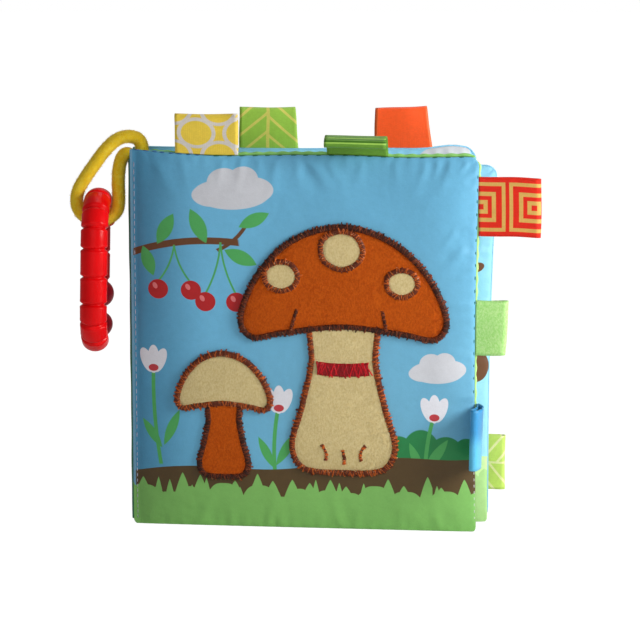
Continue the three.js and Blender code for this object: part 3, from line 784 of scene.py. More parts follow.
def fold_cell(board, value, size, shift=0.0):
    """Distance from the middle of the cell that the value falls in."""
    across = board.math("DIVIDE", board.math("ADD", value, shift), size)
    inside = board.math("SUBTRACT", across, board.math("FLOOR", across))
    return board.math("MULTIPLY", board.math("SUBTRACT", inside, 0.5), size)


def ring_ribbon():
    """Ovals in staggered rows with a line round each."""
    board, place, across, along = ribbon_base("ribbon_rings")
    mask = None
    for shift in (0.0, 0.5):
        x = fold_cell(board, across, RING_PERIOD[0], RING_PERIOD[0] * shift + RING_SHIFT[0])
        z = fold_cell(board, along, RING_PERIOD[1], RING_PERIOD[1] * shift + RING_SHIFT[1])
        shares = {0: board.math("DIVIDE", x, RING_HALF[0]), 1: board.math("DIVIDE", z, RING_HALF[1])}
        reach = board.vector("LENGTH", board.add("ShaderNodeCombineXYZ", shares).outputs[0])
        ring = board.ramp(board.apart(reach, 1), 0.13, 0.095)
        mask = ring if mask is None else board.math("MAXIMUM", mask, ring)
    color = board.mix(mask, tone("#f0d048"), tone("#dad3cc"))
    return ribbon_finish(board, place, color)


def vein_ribbon(name, wide, ground, line, pitch, rise, thick, rib_half, shifts):
    """Slanting lines that meet a middle rib, those of each side shifted by a length of their own."""
    board, place, across, along = ribbon_base(name)
    beside = board.math("SUBTRACT", across, wide / 2)
    aside = board.math("ABSOLUTE", beside)
    right = board.math("GREATER_THAN", beside, 0)
    offset = board.math("MULTIPLY_ADD", right, shifts[1] - shifts[0], shifts[0])
    climb = board.math("ADD", board.math("MULTIPLY_ADD", aside, rise, along), offset)
    vein = board.math("ABSOLUTE", fold_cell(board, climb, pitch))
    veins = board.ramp(vein, thick + PRINT_EDGE, thick - PRINT_EDGE)
    rib = board.ramp(aside, rib_half + 0.1, rib_half - 0.1)
    color = board.mix(board.math("MAXIMUM", veins, rib), tone(ground), tone(line))
    return ribbon_finish(board, place, color)


def square_ribbon(wide):
    """Nested squares, one after the other along the ribbon."""
    board, place, across, along = ribbon_base("ribbon_squares")
    x = board.apart(across, wide / 2)
    z = board.math("ABSOLUTE", fold_cell(board, along, SQUARE_PERIOD, SQUARE_PERIOD / 2 - SQUARE_START))
    far = board.math("MAXIMUM", x, z)
    lines = None
    for middle, half in ((2.1, 0.9), (5.7, 0.9), (10.0, 0.8)):
        ring = board.ramp(board.apart(far, middle), half + PRINT_EDGE, half - PRINT_EDGE)
        lines = ring if lines is None else board.math("MAXIMUM", lines, ring)
    color = board.mix(lines, tone("#e82000"), tone("#dfb058"))
    return ribbon_finish(board, place, color, 0.5, ribs=(1.6, 2.6, 1), strength=0.7)


def folded_green_ribbon(turn):
    """Plain ribbon with painted shade as a dark line on its fold and a painted highlight as a light line
    just below it.
    """
    board, place, _, along = ribbon_base("ribbon_green")
    line = board.math("SUBTRACT", along, turn)
    # Painted shade on the fold, and a painted highlight just below it
    dark = board.ramp(board.math("ABSOLUTE", line), 0.4, 0.2)
    light = board.ramp(board.math("ABSOLUTE", board.math("ADD", line, 0.7)), 0.35, 0.15)
    color = board.mix(dark, tone("#65982e"), tone("#3f741a"))
    color = board.mix(light, color, tone("#a5d45a"))
    return ribbon_finish(board, place, color)


def satin_blue_ribbon(wide):
    """Satin painted with a dark half and a light half along it: painted shade on the flank away from the
    key lamp and painted light on the lit face.
    """
    board, place, across, _ = ribbon_base("ribbon_blue")
    # Painted shade and light: dark on one half across the ribbon, light on the other
    share = board.ramp(across, wide * 0.35, wide * 0.65)
    color = board.mix(share, tone("#3a93cc"), tone("#5cbce6"))
    return ribbon_finish(board, place, color, 0.3)


# Meshes

def slot_of(material):
    """The slot a finish is named for: its name without the number Blender adds to a name in use."""
    return material.name.split(".")[0]


def new_piece(name, data, body, material, slot=None, replaces=()):
    piece = add_object(name, data)
    if material is not None:
        data.materials.append(material)
    if body is not None:
        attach(piece, body)
    if replaces:
        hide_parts(*replaces)
    return piece


def bent_grid(name, across, along, surface, chart=None, flip=False, join=False, cap=False):
    """A grid bent into a surface. surface and chart take arrays of shares and give places and UVs."""
    bm = bmesh.new()
    bmesh.ops.create_grid(bm, x_segments=across, y_segments=along, size=0.5)
    data = bpy.data.meshes.new(name)
    bm.to_mesh(data)
    count = len(data.vertices)
    flat = np.zeros(count * 3)
    data.vertices.foreach_get("co", flat)
    shares = np.clip(flat.reshape(-1, 3)[:, :2] + 0.5, 0, 1)
    data.vertices.foreach_set("co", (surface(shares[:, 0], shares[:, 1]) * MM).ravel())
    corners = np.zeros(len(data.loops), dtype=np.int32)
    data.loops.foreach_get("vertex_index", corners)
    charted = shares if chart is None else chart(shares[:, 0], shares[:, 1])
    layer = data.uv_layers.new(name="cloth")
    layer.data.foreach_set("uv", charted[corners].ravel())
    bm.clear()
    bm.from_mesh(data)
    if join:
        bmesh.ops.remove_doubles(bm, verts=bm.verts, dist=1e-7)
    if cap:
        rim = [edge for edge in bm.edges if edge.is_boundary]
        bmesh.ops.holes_fill(bm, edges=rim, sides=0)
    if join or cap:
        bmesh.ops.recalc_face_normals(bm, faces=bm.faces)
    elif flip:
        bmesh.ops.reverse_faces(bm, faces=bm.faces)
    for face in bm.faces:
        face.smooth = True
    bm.to_mesh(data)
    bm.free()
    return data


def template(build):
    """A small closed shape as its corners and faces, to be repeated."""
    bm = bmesh.new()
    build(bm)
    bmesh.ops.recalc_face_normals(bm, faces=bm.faces)
    corners = np.array([vertex.co[:] for vertex in bm.verts])
    faces = [[vertex.index for vertex in face.verts] for face in bm.faces]
    bm.free()
    return corners, faces


def scatter(name, shape, places, frames, luck):
    """One mesh with a copy of the shape at each place, turned and sized by its frame."""
    corners, faces = shape
    count = len(places)
    points = np.einsum("nij,kj->nki", frames, corners) + places[:, None, :]
    sizes = np.array([len(face) for face in faces])
    loops = np.concatenate([np.array(face) for face in faces])
    shifts = np.arange(count)[:, None] * len(corners)
    data = bpy.data.meshes.new(name)
    data.vertices.add(count * len(corners))
    data.vertices.foreach_set("co", (points * MM).astype(np.float32).ravel())
    data.loops.add(count * len(loops))
    data.loops.foreach_set("vertex_index", (loops[None, :] + shifts).astype(np.int32).ravel())
    data.polygons.add(count * len(faces))
    starts = np.concatenate([[0], np.cumsum(sizes)[:-1]])
    first = starts[None, :] + np.arange(count)[:, None] * len(loops)
    data.polygons.foreach_set("loop_start", first.astype(np.int32).ravel())
    data.update(calc_edges=True)
    data.polygons.foreach_set("use_smooth", np.ones(len(data.polygons), dtype=bool))
    lucks = data.attributes.new("luck", "FLOAT", "POINT")
    lucks.data.foreach_set("value", np.repeat(luck, len(corners)).astype(np.float32))
    return data


def thicken(piece, label, thickness, offset=-1):
    shell = piece.modifiers.new(label, "SOLIDIFY")
    shell.thickness = thickness * MM
    shell.offset = offset


def rows_at(shares, last):
    """Row numbers at shares of the way to the last row."""
    return np.rint(shares * last).astype(int)


def right_of(ways):
    """Directions square to the ways, to their right in their own plane."""
    return np.stack([ways[:, 1], -ways[:, 0]], axis=1)


def lengths_along(points):
    """How far along a line each of its points lies."""
    return np.concatenate([[0], np.cumsum(np.linalg.norm(np.diff(points, axis=0), axis=1))])


def unit(vectors):
    return vectors / np.maximum(np.linalg.norm(vectors, axis=-1, keepdims=True), 1e-9)


def smooth_line(points, steps, closed=False):
    """A centripetal Catmull-Rom line through the points, with evenly spaced steps."""
    def between(first, second, low, high, t):
        return ((high - t) * first + (t - low) * second) / (high - low)

    points = np.array(points, float)
    if closed:
        ring = np.vstack([points[-1:], points, points[:2]])
    else:
        ring = np.vstack([2 * points[0] - points[1], points, 2 * points[-1] - points[-2]])
    fine = []
    for k in range(len(ring) - 3):
        p = ring[k:k + 4]
        knots = np.concatenate([[0], np.cumsum(np.linalg.norm(np.diff(p, axis=0), axis=1) ** 0.5)])
        for t in np.linspace(knots[1], knots[2], 24, endpoint=False):
            a = [between(p[i], p[i + 1], knots[i], knots[i + 1], t) for i in range(3)]
            b = [between(a[i], a[i + 1], knots[i], knots[i + 2], t) for i in range(2)]
            fine.append(between(b[0], b[1], knots[1], knots[2], t))
    fine.append(fine[0] if closed else points[-1])
    fine = np.array(fine)
    far = lengths_along(fine)
    wanted = np.linspace(0, far[-1], steps, endpoint=not closed)
    return np.stack([np.interp(wanted, far, fine[:, i]) for i in range(fine.shape[1])], axis=1)


def line_length(points):
    return float(np.linalg.norm(np.diff(points, axis=0), axis=1).sum())


def frames_along(line):
    """Directions along a line and two directions square to it that don't twist."""
    ways = unit(np.gradient(line, axis=0))
    side = unit(np.cross(ways[0], [0.31, 0.95, 0.1]))
    sides = []
    for way in ways:
        side = unit(side - way * (side @ way))
        sides.append(side)
    sides = np.array(sides)
    return ways, sides, np.cross(ways, sides)


def tube(name, line, radius_of, sides):
    """A capped tube along a line; radius_of takes shares along and round it."""
    _, first, second = frames_along(line)

    def surface(u, v):
        row = rows_at(v, len(line) - 1)
        turn = 2 * math.pi * np.rint(u * sides) / sides
        way = first[row] * np.cos(turn)[:, None] + second[row] * np.sin(turn)[:, None]
        return line[row] + radius_of(v, u)[:, None] * way

    def chart(u, v):
        return np.stack([u, v * line_length(line) / 100], axis=1)

    return bent_grid(name, sides, len(line) - 1, surface, chart, join=True, cap=True)


# Cloth

def simulate_panel(width, height):
    """Wrinkles of a panel that is cut a little larger than its seam: heights on a grid."""
    spacing = 2.6
    across, along = round(width / spacing), round(height / spacing)
    luck = np.random.default_rng(7)

    def surface(u, v):
        x, z = u * width, v * height
        inside = np.minimum.reduce([x, width - x, z, height - z])
        rise = 4 * np.sqrt(1 - (1 - np.clip(inside / EDGE_ROLL, 0, 1)) ** 2)
        return np.stack([x, -rise - luck.normal(0, 0.04, len(x)), z], axis=1)

    data = bent_grid("panel_cloth", across, along, surface)
    piece = add_object("panel_cloth", data)
    shape = np.zeros(len(data.vertices) * 3)
    data.vertices.foreach_get("co", shape)
    x, _, z = shape.reshape(-1, 3).T / MM
    sewn = (x < 0.01) | (x > width - 0.01) | (z < 0.01) | (z > height - 0.01)
    group = piece.vertex_groups.new(name="seam")
    group.add([int(i) for i in np.nonzero(sewn)[0]], 1, "REPLACE")
    cloth = piece.modifiers.new("cloth", "CLOTH")
    settings = cloth.settings
    settings.vertex_group_mass = "seam"
    settings.quality = 6
    settings.mass = 0.15
    settings.tension_stiffness = settings.compression_stiffness = 12
    settings.shear_stiffness = 6
    settings.bending_stiffness = 0.5
    settings.shrink_min = -0.02
    settings.use_pressure = True
    settings.uniform_pressure_force = 0.6
    settings.effector_weights.gravity = 0
    cloth.collision_settings.use_collision = False
    cloth.collision_settings.use_self_collision = False
    for step in range(1, 26):
        bpy.context.scene.frame_set(step)
    settled = piece.evaluated_get(bpy.context.evaluated_depsgraph_get())
    settled.data.vertices.foreach_get("co", shape)
    y = shape.reshape(-1, 3)[:, 1] / MM
    bpy.data.objects.remove(piece)
    bpy.context.scene.frame_set(1)
    heights = np.zeros((along + 1, across + 1))
    heights[np.rint(z / height * along).astype(int), np.rint(x / width * across).astype(int)] = -y
    return heights


def blurred(heights, spread):
    reach = int(3 * spread)
    kernel = np.exp(-0.5 * (np.arange(-reach, reach + 1) / spread) ** 2)
    kernel /= kernel.sum()
    padded = np.pad(heights, reach, mode="reflect")
    rows = np.apply_along_axis(lambda line: np.convolve(line, kernel, "valid"), 0, padded)
    return np.apply_along_axis(lambda line: np.convolve(line, kernel, "valid"), 1, rows)


def wrinkle_field():
    """Wrinkles without the swell, in millimetres, soft enough to read between the grid's points."""
    heights = simulate_panel(LEAF_WIDTH, LEAF_HEIGHT)
    field = blurred(heights, 0.7) - blurred(heights, 5)
    return field / np.abs(field).max()


def read_field(field, u, v):
    """The field between its points, by cubic B-spline weights."""
    rows, columns = field.shape
    total = 0
    x, z = np.clip(u, 0, 1) * (columns - 1), np.clip(v, 0, 1) * (rows - 1)
    i, k = np.floor(x).astype(int), np.floor(z).astype(int)
    fx, fz = x - i, z - k

    def weights(t):
        return (
            (1 - t) ** 3 / 6, (3 * t**3 - 6 * t**2 + 4) / 6,
            (-3 * t**3 + 3 * t**2 + 3 * t + 1) / 6, t**3 / 6,
        )

    for a, wx in enumerate(weights(fx), -1):
        for b, wz in enumerate(weights(fz), -1):
            total = total + wx * wz * field[np.clip(k + b, 0, rows - 1), np.clip(i + a, 0, columns - 1)]
    return total


# How wide the wrinkles are at their full height beside a seam, and how far they take to fade
WRINKLE_BAND = 8
WRINKLE_FADE = 14

# Heights of the wrinkles, of the folds and of the puckers between a seam's stitches
WRINKLE = 0.85
FOLD_RISE = 1.5
SEAM_PUCKER = 0.22

# Folds of the cover's cloth: foot on the flat leaf, direction in degrees, length, half width and height
COVER_FOLDS = (
    (42, 169, 262, 15, 1.6, 0.42), (50, 169.5, 268, 19, 1.9, 0.5), (58, 169.5, 274, 13, 1.5, 0.36),
    (66, 169.5, 265, 21, 2.2, 0.55), (75, 169, 278, 16, 1.7, 0.42), (80, 168, 312, 24, 2.6, 0.6),
    (88, 168.5, 304, 22, 2.2, 0.5), (24, 168, 280, 22, 2.6, 0.4), (12, 166, 300, 26, 3.0, 0.4),
    (104, 168, 262, 16, 2.0, 0.4), (118, 168.5, 280, 14, 1.7, 0.4), (132, 168, 256, 20, 2.2, 0.45),
    (146, 168, 240, 22, 2.2, 0.45), (155, 126, 176, 17, 1.7, 0.5), (155, 121, 184, 13, 1.5, 0.4),
    (155, 103, 180, 18, 1.8, 0.5), (155, 80, 172, 19, 1.9, 0.5), (155, 140, 190, 15, 1.8, 0.4),
    (155, 62, 188, 12, 1.7, 0.4), (155, 36, 168, 18, 2.0, 0.45), (155, 20, 190, 14, 1.7, 0.4),
    (61, 0, 76, 22, 2.1, 0.5), (68, 0, 100, 16, 1.9, 0.4), (95, 0, 106, 24, 2.2, 0.55),
    (101, 0, 84, 15, 1.8, 0.4), (30, 0, 70, 18, 2.2, 0.45), (8, 0, 88, 16, 2.2, 0.4),
    (45, 0, 96, 13, 1.8, 0.35), (122, 0, 96, 17, 2.1, 0.45), (140, 0, 112, 20, 2.3, 0.5),
    (3, 30, 12, 16, 2.4, 0.3), (3, 66, 350, 20, 2.8, 0.35), (3, 104, 8, 18, 2.6, 0.3),
    (150, 168, 236, 11, 1.3, 0.75), (155, 164, 205, 12, 1.4, 0.75), (143, 168.5, 250, 12, 1.4, 0.6),
    (155, 157, 196, 12, 1.4, 0.6), (137, 168.5, 262, 11, 1.3, 0.5), (150, 130, 238, 20, 2.4, 0.55),
    (146, 137, 232, 17, 2.0, 0.45), (78, 166, 306, 20, 4.0, -0.7),
)


def soft_folds(x, z, folds):
    """Heights of folds that start at a seam and fade into the cloth."""
    total = np.zeros(np.shape(x))
    for foot_x, foot_z, turn, length, width, height in folds:
        way = math.cos(math.radians(turn)), math.sin(math.radians(turn))
        along = ((x - foot_x) * way[0] + (z - foot_z) * way[1]) / length
        aside = (z - foot_z) * way[0] - (x - foot_x) * way[1] + 0.08 * length * along**2
        fade = np.clip(1 - along, 0, 1) ** 1.3 * np.clip(along / 0.12 + 0.25, 0, 1)
        spread = width * (0.75 + 0.6 * np.clip(along, 0, 1))
        ridge = np.exp(-(aside / spread) ** 2) - 0.4 * np.exp(-(aside / spread / 2.2) ** 2)
        total = total + height * fade * ridge
    return total


class Leaf:
    """A padded leaf: where it stands in the book, and how its cloth swells and wrinkles."""

    def __init__(self, body, side, sag, gutter=0, drop=0, turned=False, foot_taper=0):
        self.body = body
        self.width = LEAF_WIDTH + gutter
        self.height = LEAF_HEIGHT - drop
        self.cut_height = self.height + FOOT_CUT
        self.gutter = gutter
        self.foot_taper = foot_taper
        shares = np.linspace(-0.1, 1.1, 121)
        depths = np.interp(shares, [place for place, _ in sag], [depth for _, depth in sag])
        self.sag = (shares[6:-6], np.convolve(depths, np.hanning(15)[1:-1] / np.hanning(15).sum(), "valid"))
        self.turned = turned
        turn = FAN * side
        self.spin = np.array([
            [math.cos(turn), -math.sin(turn), 0], [math.sin(turn), math.cos(turn), 0], [0, 0, 1],
        ])
        self.start = (FRONT_HINGE if side < 0 else BACK_HINGE) * np.array([1, 1, 0]) if side else SPINE
        self.offset = np.array([CLEARANCE, side * HINGE_OFFSET, 0]) if side else np.zeros(3)

    def world(self, points):
        return (points + self.offset) @ self.spin.T + self.start

    def half(self, x, z, face=-1):
        """Half the leaf's thickness on one face, wrinkles included."""
        def rise(distance, swell, exponent):
            return (1 - (1 - np.clip(distance / swell, 0, 1)) ** 2) ** exponent

        spine = rise(x - SPINE_LIP - self.gutter, SPINE_SWELL, 0.6)
        edge = rise(self.width - x, EDGE_ROLL, 0.5)
        foot = rise(z, EDGE_ROLL, 0.5)
        head = rise(self.cut_height - z, EDGE_ROLL, 0.5)
        swell = spine * edge * foot * head
        u, v = x / self.width, z / self.cut_height
        if self.turned:
            u, v = 1 - u, 1 - v
        if face > 0:
            u = 1 - u
        near = np.minimum.reduce([self.width - x, z, self.cut_height - z])
        by_seam = np.exp(-np.clip(near - WRINKLE_BAND, 0, None) / WRINKLE_FADE)
        strength = WRINKLE * (0.35 + 0.65 * by_seam) * np.clip(near / 4, 0, 1)
        strength = strength * np.clip((x - self.gutter) / 12, 0, 1)
        wrinkles = read_field(WRINKLES, u, v) * strength
        mirrored = self.width - x if face > 0 else x
        fold_x = mirrored * LEAF_WIDTH / self.width
        wrinkles = wrinkles + FOLD_RISE * soft_folds(fold_x, z, COVER_FOLDS) * np.clip(near / 2, 0, 1)
        along = np.where(self.width - x < np.minimum(z, self.cut_height - z), z, x)
        pull = np.cos(2 * math.pi * along / SEAM_STITCH) * np.exp(-near / 2.6) * np.clip(near / 1.2, 0, 1)
        return SEAM_HALF + (CROWN - SEAM_HALF) * swell + wrinkles + SEAM_PUCKER * pull

    def outline(self, x, z):
        """Where a place of the flat leaf lies: head sagged, sides drawn in and corners rounded."""
        middle_x, middle_z = self.width / 2, self.cut_height / 2
        spine_side = x < middle_x
        head = np.where(spine_side, HEAD_CORNERS[0], HEAD_CORNERS[1])
        corner = np.where(z > middle_z, head, np.where(spine_side, FOOT_CORNERS[0], FOOT_CORNERS[1]))
        corner_x = np.clip(corner - (middle_x - np.abs(x - middle_x)), 0, None)
        corner_z = np.clip(corner - (middle_z - np.abs(z - middle_z)), 0, None)
        radius = np.maximum(np.hypot(corner_x, corner_z), 1e-9)
        inside = (corner_x > 0) & (corner_z > 0)
        shrink = np.where(inside, np.maximum(corner_x, corner_z) / radius, 1)
        round_x = x + np.sign(middle_x - x) * corner_x * (1 - shrink)
        round_z = z + np.sign(middle_z - z) * corner_z * (1 - shrink)
        share_x, share_z = x / self.width, z / self.cut_height
        taper = self.foot_taper * (1 - share_z) * share_x
        drop = DRAW_IN * np.sin(math.pi * share_x) + np.interp(share_x, *self.sag)
        drawn_x = round_x - DRAW_IN * np.sin(math.pi * share_z) * share_x**3 - taper
        drawn_z = round_z - drop * share_z**3
        return drawn_x, np.maximum(drawn_z - FOOT_CUT, 0)

    def surface(self, x, z, lift=0.0, face=-1):
        """Places on a face of the leaf, a lift above the cloth."""
        place_x, place_z = self.outline(x, z)
        return self.world(np.stack([place_x, face * (self.half(x, z, face) + lift), place_z], axis=1))


def edge_lines(length):
    """Where along a side the grid's lines run, closer together near both seams."""
    spacing = 1.2
    near = np.array([0, 0.15, 0.4, 0.75, 1.2, 1.8, 2.6, 3.6])
    inner = np.linspace(4.8, length - 4.8, round((length - 9.6) / spacing) + 1)
    return np.concatenate([near, inner, length - near[::-1]])


def panel(leaf, face, name, material, slot, replaces):
    """One printed panel of a leaf, as a shell of cloth."""
    xs, zs = edge_lines(leaf.width), edge_lines(leaf.cut_height)

    def spread(u, v):
        return xs[rows_at(u, len(xs) - 1)], zs[rows_at(v, len(zs) - 1)]

    def surface(u, v):
        return leaf.surface(*spread(u, v), face=face)

    def chart(u, v):
        x, z = spread(u, v)
        return np.stack([x if face < 0 else leaf.width - x, z], axis=1) / 100

    data = bent_grid(name, len(xs) - 1, len(zs) - 1, surface, chart, flip=face > 0)
    piece = new_piece(name, data, leaf.body, material, slot, replaces)
    thicken(piece, "cloth thickness", FABRIC)


def wadding(leaf, name, material, replaces):
    """The soft filling between the two panels of a leaf."""
    inset = 4.0

    def surface(u, v):
        turn = 2 * math.pi * u
        x = leaf.gutter + SPINE_LIP + inset + (leaf.width - leaf.gutter - SPINE_LIP - 2 * inset) * v
        z = inset + (leaf.cut_height - 2 * inset) * (0.5 - 0.5 * np.cos(turn))
        face = np.where(np.sin(turn) < 0, -1, 1)
        thick = np.clip(leaf.half(x, z) * 0.72 - 0.6, 0.05, None) * np.abs(np.sin(turn)) ** 0.35
        thick = thick * np.clip(np.minimum(v, 1 - v) / 0.02, 0.02, 1)
        place_x, place_z = leaf.outline(x, z)
        return leaf.world(np.stack([place_x, face * thick, place_z], axis=1))

    data = bent_grid(name, 96, 60, surface, join=True, cap=True)
    piece = new_piece(name, data, leaf.body, material, "wadding", replaces)


# Stitches, welts and spine

STITCH_LIFT = 0.05


def stitch_ball(bm):
    """A ball one wide, which a stitch's frame draws out along the stitch."""
    bmesh.ops.create_icosphere(bm, subdivisions=1, radius=0.5)


def stitches(name, leaf, ends, size, material):
    """Separate stitches on the leaf's front face between pairs of places, each (x, z, x, z)."""
    ends = np.array(ends, float)
    first = leaf.surface(ends[:, 0], ends[:, 1], STITCH_LIFT)
    last = leaf.surface(ends[:, 2], ends[:, 3], STITCH_LIFT)
    along = last - first
    ahead = unit(along)
    out = np.tile(leaf.world(np.array([[0, -1, 0]])) - leaf.world(np.zeros((1, 3))), (len(ends), 1))
    side = unit(np.cross(ahead, out))
    frames = np.stack([along, side * size, unit(np.cross(side, ahead)) * size * 0.8], axis=2)
    luck = np.random.default_rng(len(name)).random(len(ends))
    data = scatter(name, template(stitch_ball), (first + last) / 2, frames, luck)
    new_piece(name, data, leaf.body, material)


def stitch_run(start, end, pitch, share, luck):
    """Pairs of places along a line from start to end: stitches with the gaps between them."""
    start, end = np.array(start, float), np.array(end, float)
    length = np.linalg.norm(end - start)
    way = (end - start) / length
    count = int(length / pitch)
    pairs = []
    for k in range(count):
        a = (k + 0.5 * (1 - share)) * pitch + luck.normal(0, pitch * 0.03)
        b = a + pitch * share + luck.normal(0, pitch * 0.04)
        pairs.append((*(start + way * a), *(start + way * min(b, length))))
    return pairs


def edge_welt(
    name, leaf, start, end, material, slot, radius, face=1, ripple_size=0.12, ease=3, out=0.15,
):
    """The folded lip of the lining round the leaf's seam, between two lengths along head and side."""
    rim = np.array([
        *((x, leaf.cut_height) for x in np.arange(0, leaf.width - 0.5, 1.0)),
        *((leaf.width, z) for z in np.arange(leaf.cut_height, -0.5, -1.0)),
    ])
    far = lengths_along(rim)
    step = 0.7
    wanted = np.arange(start, end, step)
    x, z = np.interp(wanted, far, rim[:, 0]), np.interp(wanted, far, rim[:, 1])
    place_x, place_z = leaf.outline(x, z)
    ripple = ripple_size * np.cos(2 * math.pi * wanted / SEAM_STITCH)
    flat = np.stack([place_x, np.full_like(place_x, face * 0.55), place_z], axis=1)
    way = unit(np.gradient(flat, axis=0))
    outward = np.stack([-way[:, 2], np.zeros(len(way)), way[:, 0]], axis=1)
    line = leaf.world(flat + outward * (out + ripple)[:, None])
    ends = len(line) - 1

    def radius_of(v, u):
        row = rows_at(v, ends)
        taper = np.clip(np.minimum(row * step / ease, (ends - row) / 4), 0.1, 1) ** 0.6
        return (radius + ripple[row] * 0.6) * taper

    new_piece(name, tube(name, line, radius_of, 8), leaf.body, material, slot)


# Depth and half width of the gusset's outer and inner face
GUSSET_OUTER = (1.3, 2.95)
GUSSET_INNER = (0.8, 2.4)


def spine_gusset(name, side, node, material):
    """The fold of cloth that joins a cover to the middle leaf."""
    turns = np.linspace(-math.pi / 2, math.pi / 2, 13)
    arcs = []
    for way, (deep, half) in ((turns, GUSSET_OUTER), (turns[::-1], GUSSET_INNER)):
        arcs.append(np.stack([-deep * np.cos(way), half * np.sin(way)], axis=1))
    ring = np.vstack([*arcs, arcs[0][:1]])
    rows = 84
    middle = SPINE[1] + side * HINGE_OFFSET

    def surface(u, v):
        corner = rows_at(u, len(ring) - 1)
        z = 2 + (LEAF_HEIGHT - MIDDLE_DROP - 4) * v
        soft = 1 + 0.06 * np.sin(z / 9.0 + side) + 0.04 * np.sin(z / 3.7)
        x = SPINE[0] + 0.2 + ring[corner, 0] * soft
        return np.stack([x, middle + side * ring[corner, 1], z], axis=1)

    def chart(u, v):
        return np.stack([u * 0.18, v * LEAF_HEIGHT / 100], axis=1)

    data = bent_grid(name, len(ring) - 1, rows, surface, chart, join=True, cap=True)
    piece = new_piece(name, data, None, material, "spine_green", [node])
    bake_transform(piece)


# Raised pieces of the cover

def outline_of(x, z, width, height, shares):
    points = [(x + a * width, z + b * height) for a, b in shares]
    length = line_length(smooth_line(points, 200, closed=True))
    return smooth_line(points, max(60, round(length / 0.9)), closed=True)


def grown(outline, distance):
    way = unit(np.roll(outline, -1, 0) - np.roll(outline, 1, 0))
    return outline + distance * right_of(way)


def inside_of(outline, points):
    """Which of the points lie inside a closed outline."""
    x, z = points[:, 0][:, None], points[:, 1][:, None]
    x0, z0 = outline[:, 0][None], outline[:, 1][None]
    x1, z1 = np.roll(outline[:, 0], -1)[None], np.roll(outline[:, 1], -1)[None]
    over = (z0 > z) != (z1 > z)
    slope = np.where(z1 == z0, 1, z1 - z0)
    return (over & (x < (x1 - x0) * (z - z0) / slope + x0)).sum(axis=1) % 2 == 1


def normals_at(leaf, points, lift):
    """The way out of the cover at places of the flat leaf."""
    step = 0.4
    x, z = points[:, 0], points[:, 1]
    across = leaf.surface(x + step, z, lift) - leaf.surface(x - step, z, lift)
    along = leaf.surface(x, z + step, lift) - leaf.surface(x, z - step, lift)
    return unit(np.cross(across, along))


def fibre_frames(lean, side, wide, tall):
    """Frames of fibres that stand along lean, with a side square to it."""
    sides = [side * wide[:, None], np.cross(lean, side) * wide[:, None], lean * tall[:, None]]
    return np.stack(sides, axis=2)


def plush_patch(name, leaf, outline, lift, material, node, over=()):
    """A patch of short-piled cloth, with its pile as separate fibres."""
    rim = grown(outline, -PATCH_INSET)
    centre = (rim.max(axis=0) + rim.min(axis=0)) / 2
    rings = max(8, round(float(np.abs(rim - centre).max()) / 1.1))

    def flat(u, v):
        row = rows_at(u, len(rim)) % len(rim)
        return centre + (rim[row] - centre) * v[:, None]

    def surface(u, v):
        place = flat(u, v)
        rise = lift * np.sqrt(np.clip(1 - v**14, 0.05, 1))
        return leaf.surface(place[:, 0], place[:, 1], rise)

    data = bent_grid(name, len(rim), rings, surface, lambda u, v: flat(u, v) / 100)
    bm = bmesh.new()
    bm.from_mesh(data)
    bmesh.ops.remove_doubles(bm, verts=bm.verts, dist=1e-7)
    bm.to_mesh(data)
    bm.free()
    piece = new_piece(name, data, leaf.body, material, slot_of(material), [node])
    thicken(piece, "backing", PLUSH_BACKING)

    luck = np.random.default_rng(len(name) + len(rim))
    low, high = rim.min(axis=0), rim.max(axis=0)
    count = int(PILE_DENSITY * np.prod(high - low) * (1))
    spots = low + luck.random((count, 2)) * (high - low)
    spots = spots[inside_of(rim, spots)]
    for other in over:
        spots = spots[~inside_of(grown(other, BORDER / 2 + 0.2), spots)]
    out = normals_at(leaf, spots, lift)
    nap = np.array([0.25, 0, -1.0])
    down = unit(nap - out * (out @ nap)[:, None])
    lean = unit(unit(luck.normal(0, 1, out.shape)) * 0.5 + down * 0.35 + out)
    side = unit(np.cross(lean, luck.normal(0, 1, out.shape)))
    tall = PILE_LENGTH * luck.uniform(0.6, 1.15, len(spots))
    wide = PILE_WIDTH * luck.uniform(0.8, 1.4, len(spots))
    frames = fibre_frames(lean, side, wide, tall)
    places = leaf.surface(spots[:, 0], spots[:, 1], lift - PILE_ROOT)
    pile = scatter(f"{name}_pile", template(fibre), places, frames, luck.random(len(spots)))
    new_piece(f"{name}_pile", pile, leaf.body, material, slot_of(material))


def fibre(bm):
    """One tapering fibre, one long, standing on Z."""
    bmesh.ops.create_cone(
        bm, cap_ends=True, segments=3, radius1=0.5, radius2=0.12, depth=1,
        matrix=Matrix.Translation((0, 0, 0.5)),
    )


def thread(bm):
    """One arched thread, one wide along X and one long across Y, rising along Z."""
    bmesh.ops.create_grid(bm, x_segments=2, y_segments=6, size=0.5)
    for vertex in bm.verts:
        across, side = vertex.co.y, vertex.co.x
        arch = math.sqrt(max(0.0, 1 - (2 * across) ** 2))
        vertex.co.z = arch - 0.42 * (2 * side) ** 2 * (0.4 + 0.6 * arch)
    bmesh.ops.solidify(bm, geom=bm.faces[:], thickness=0.12)


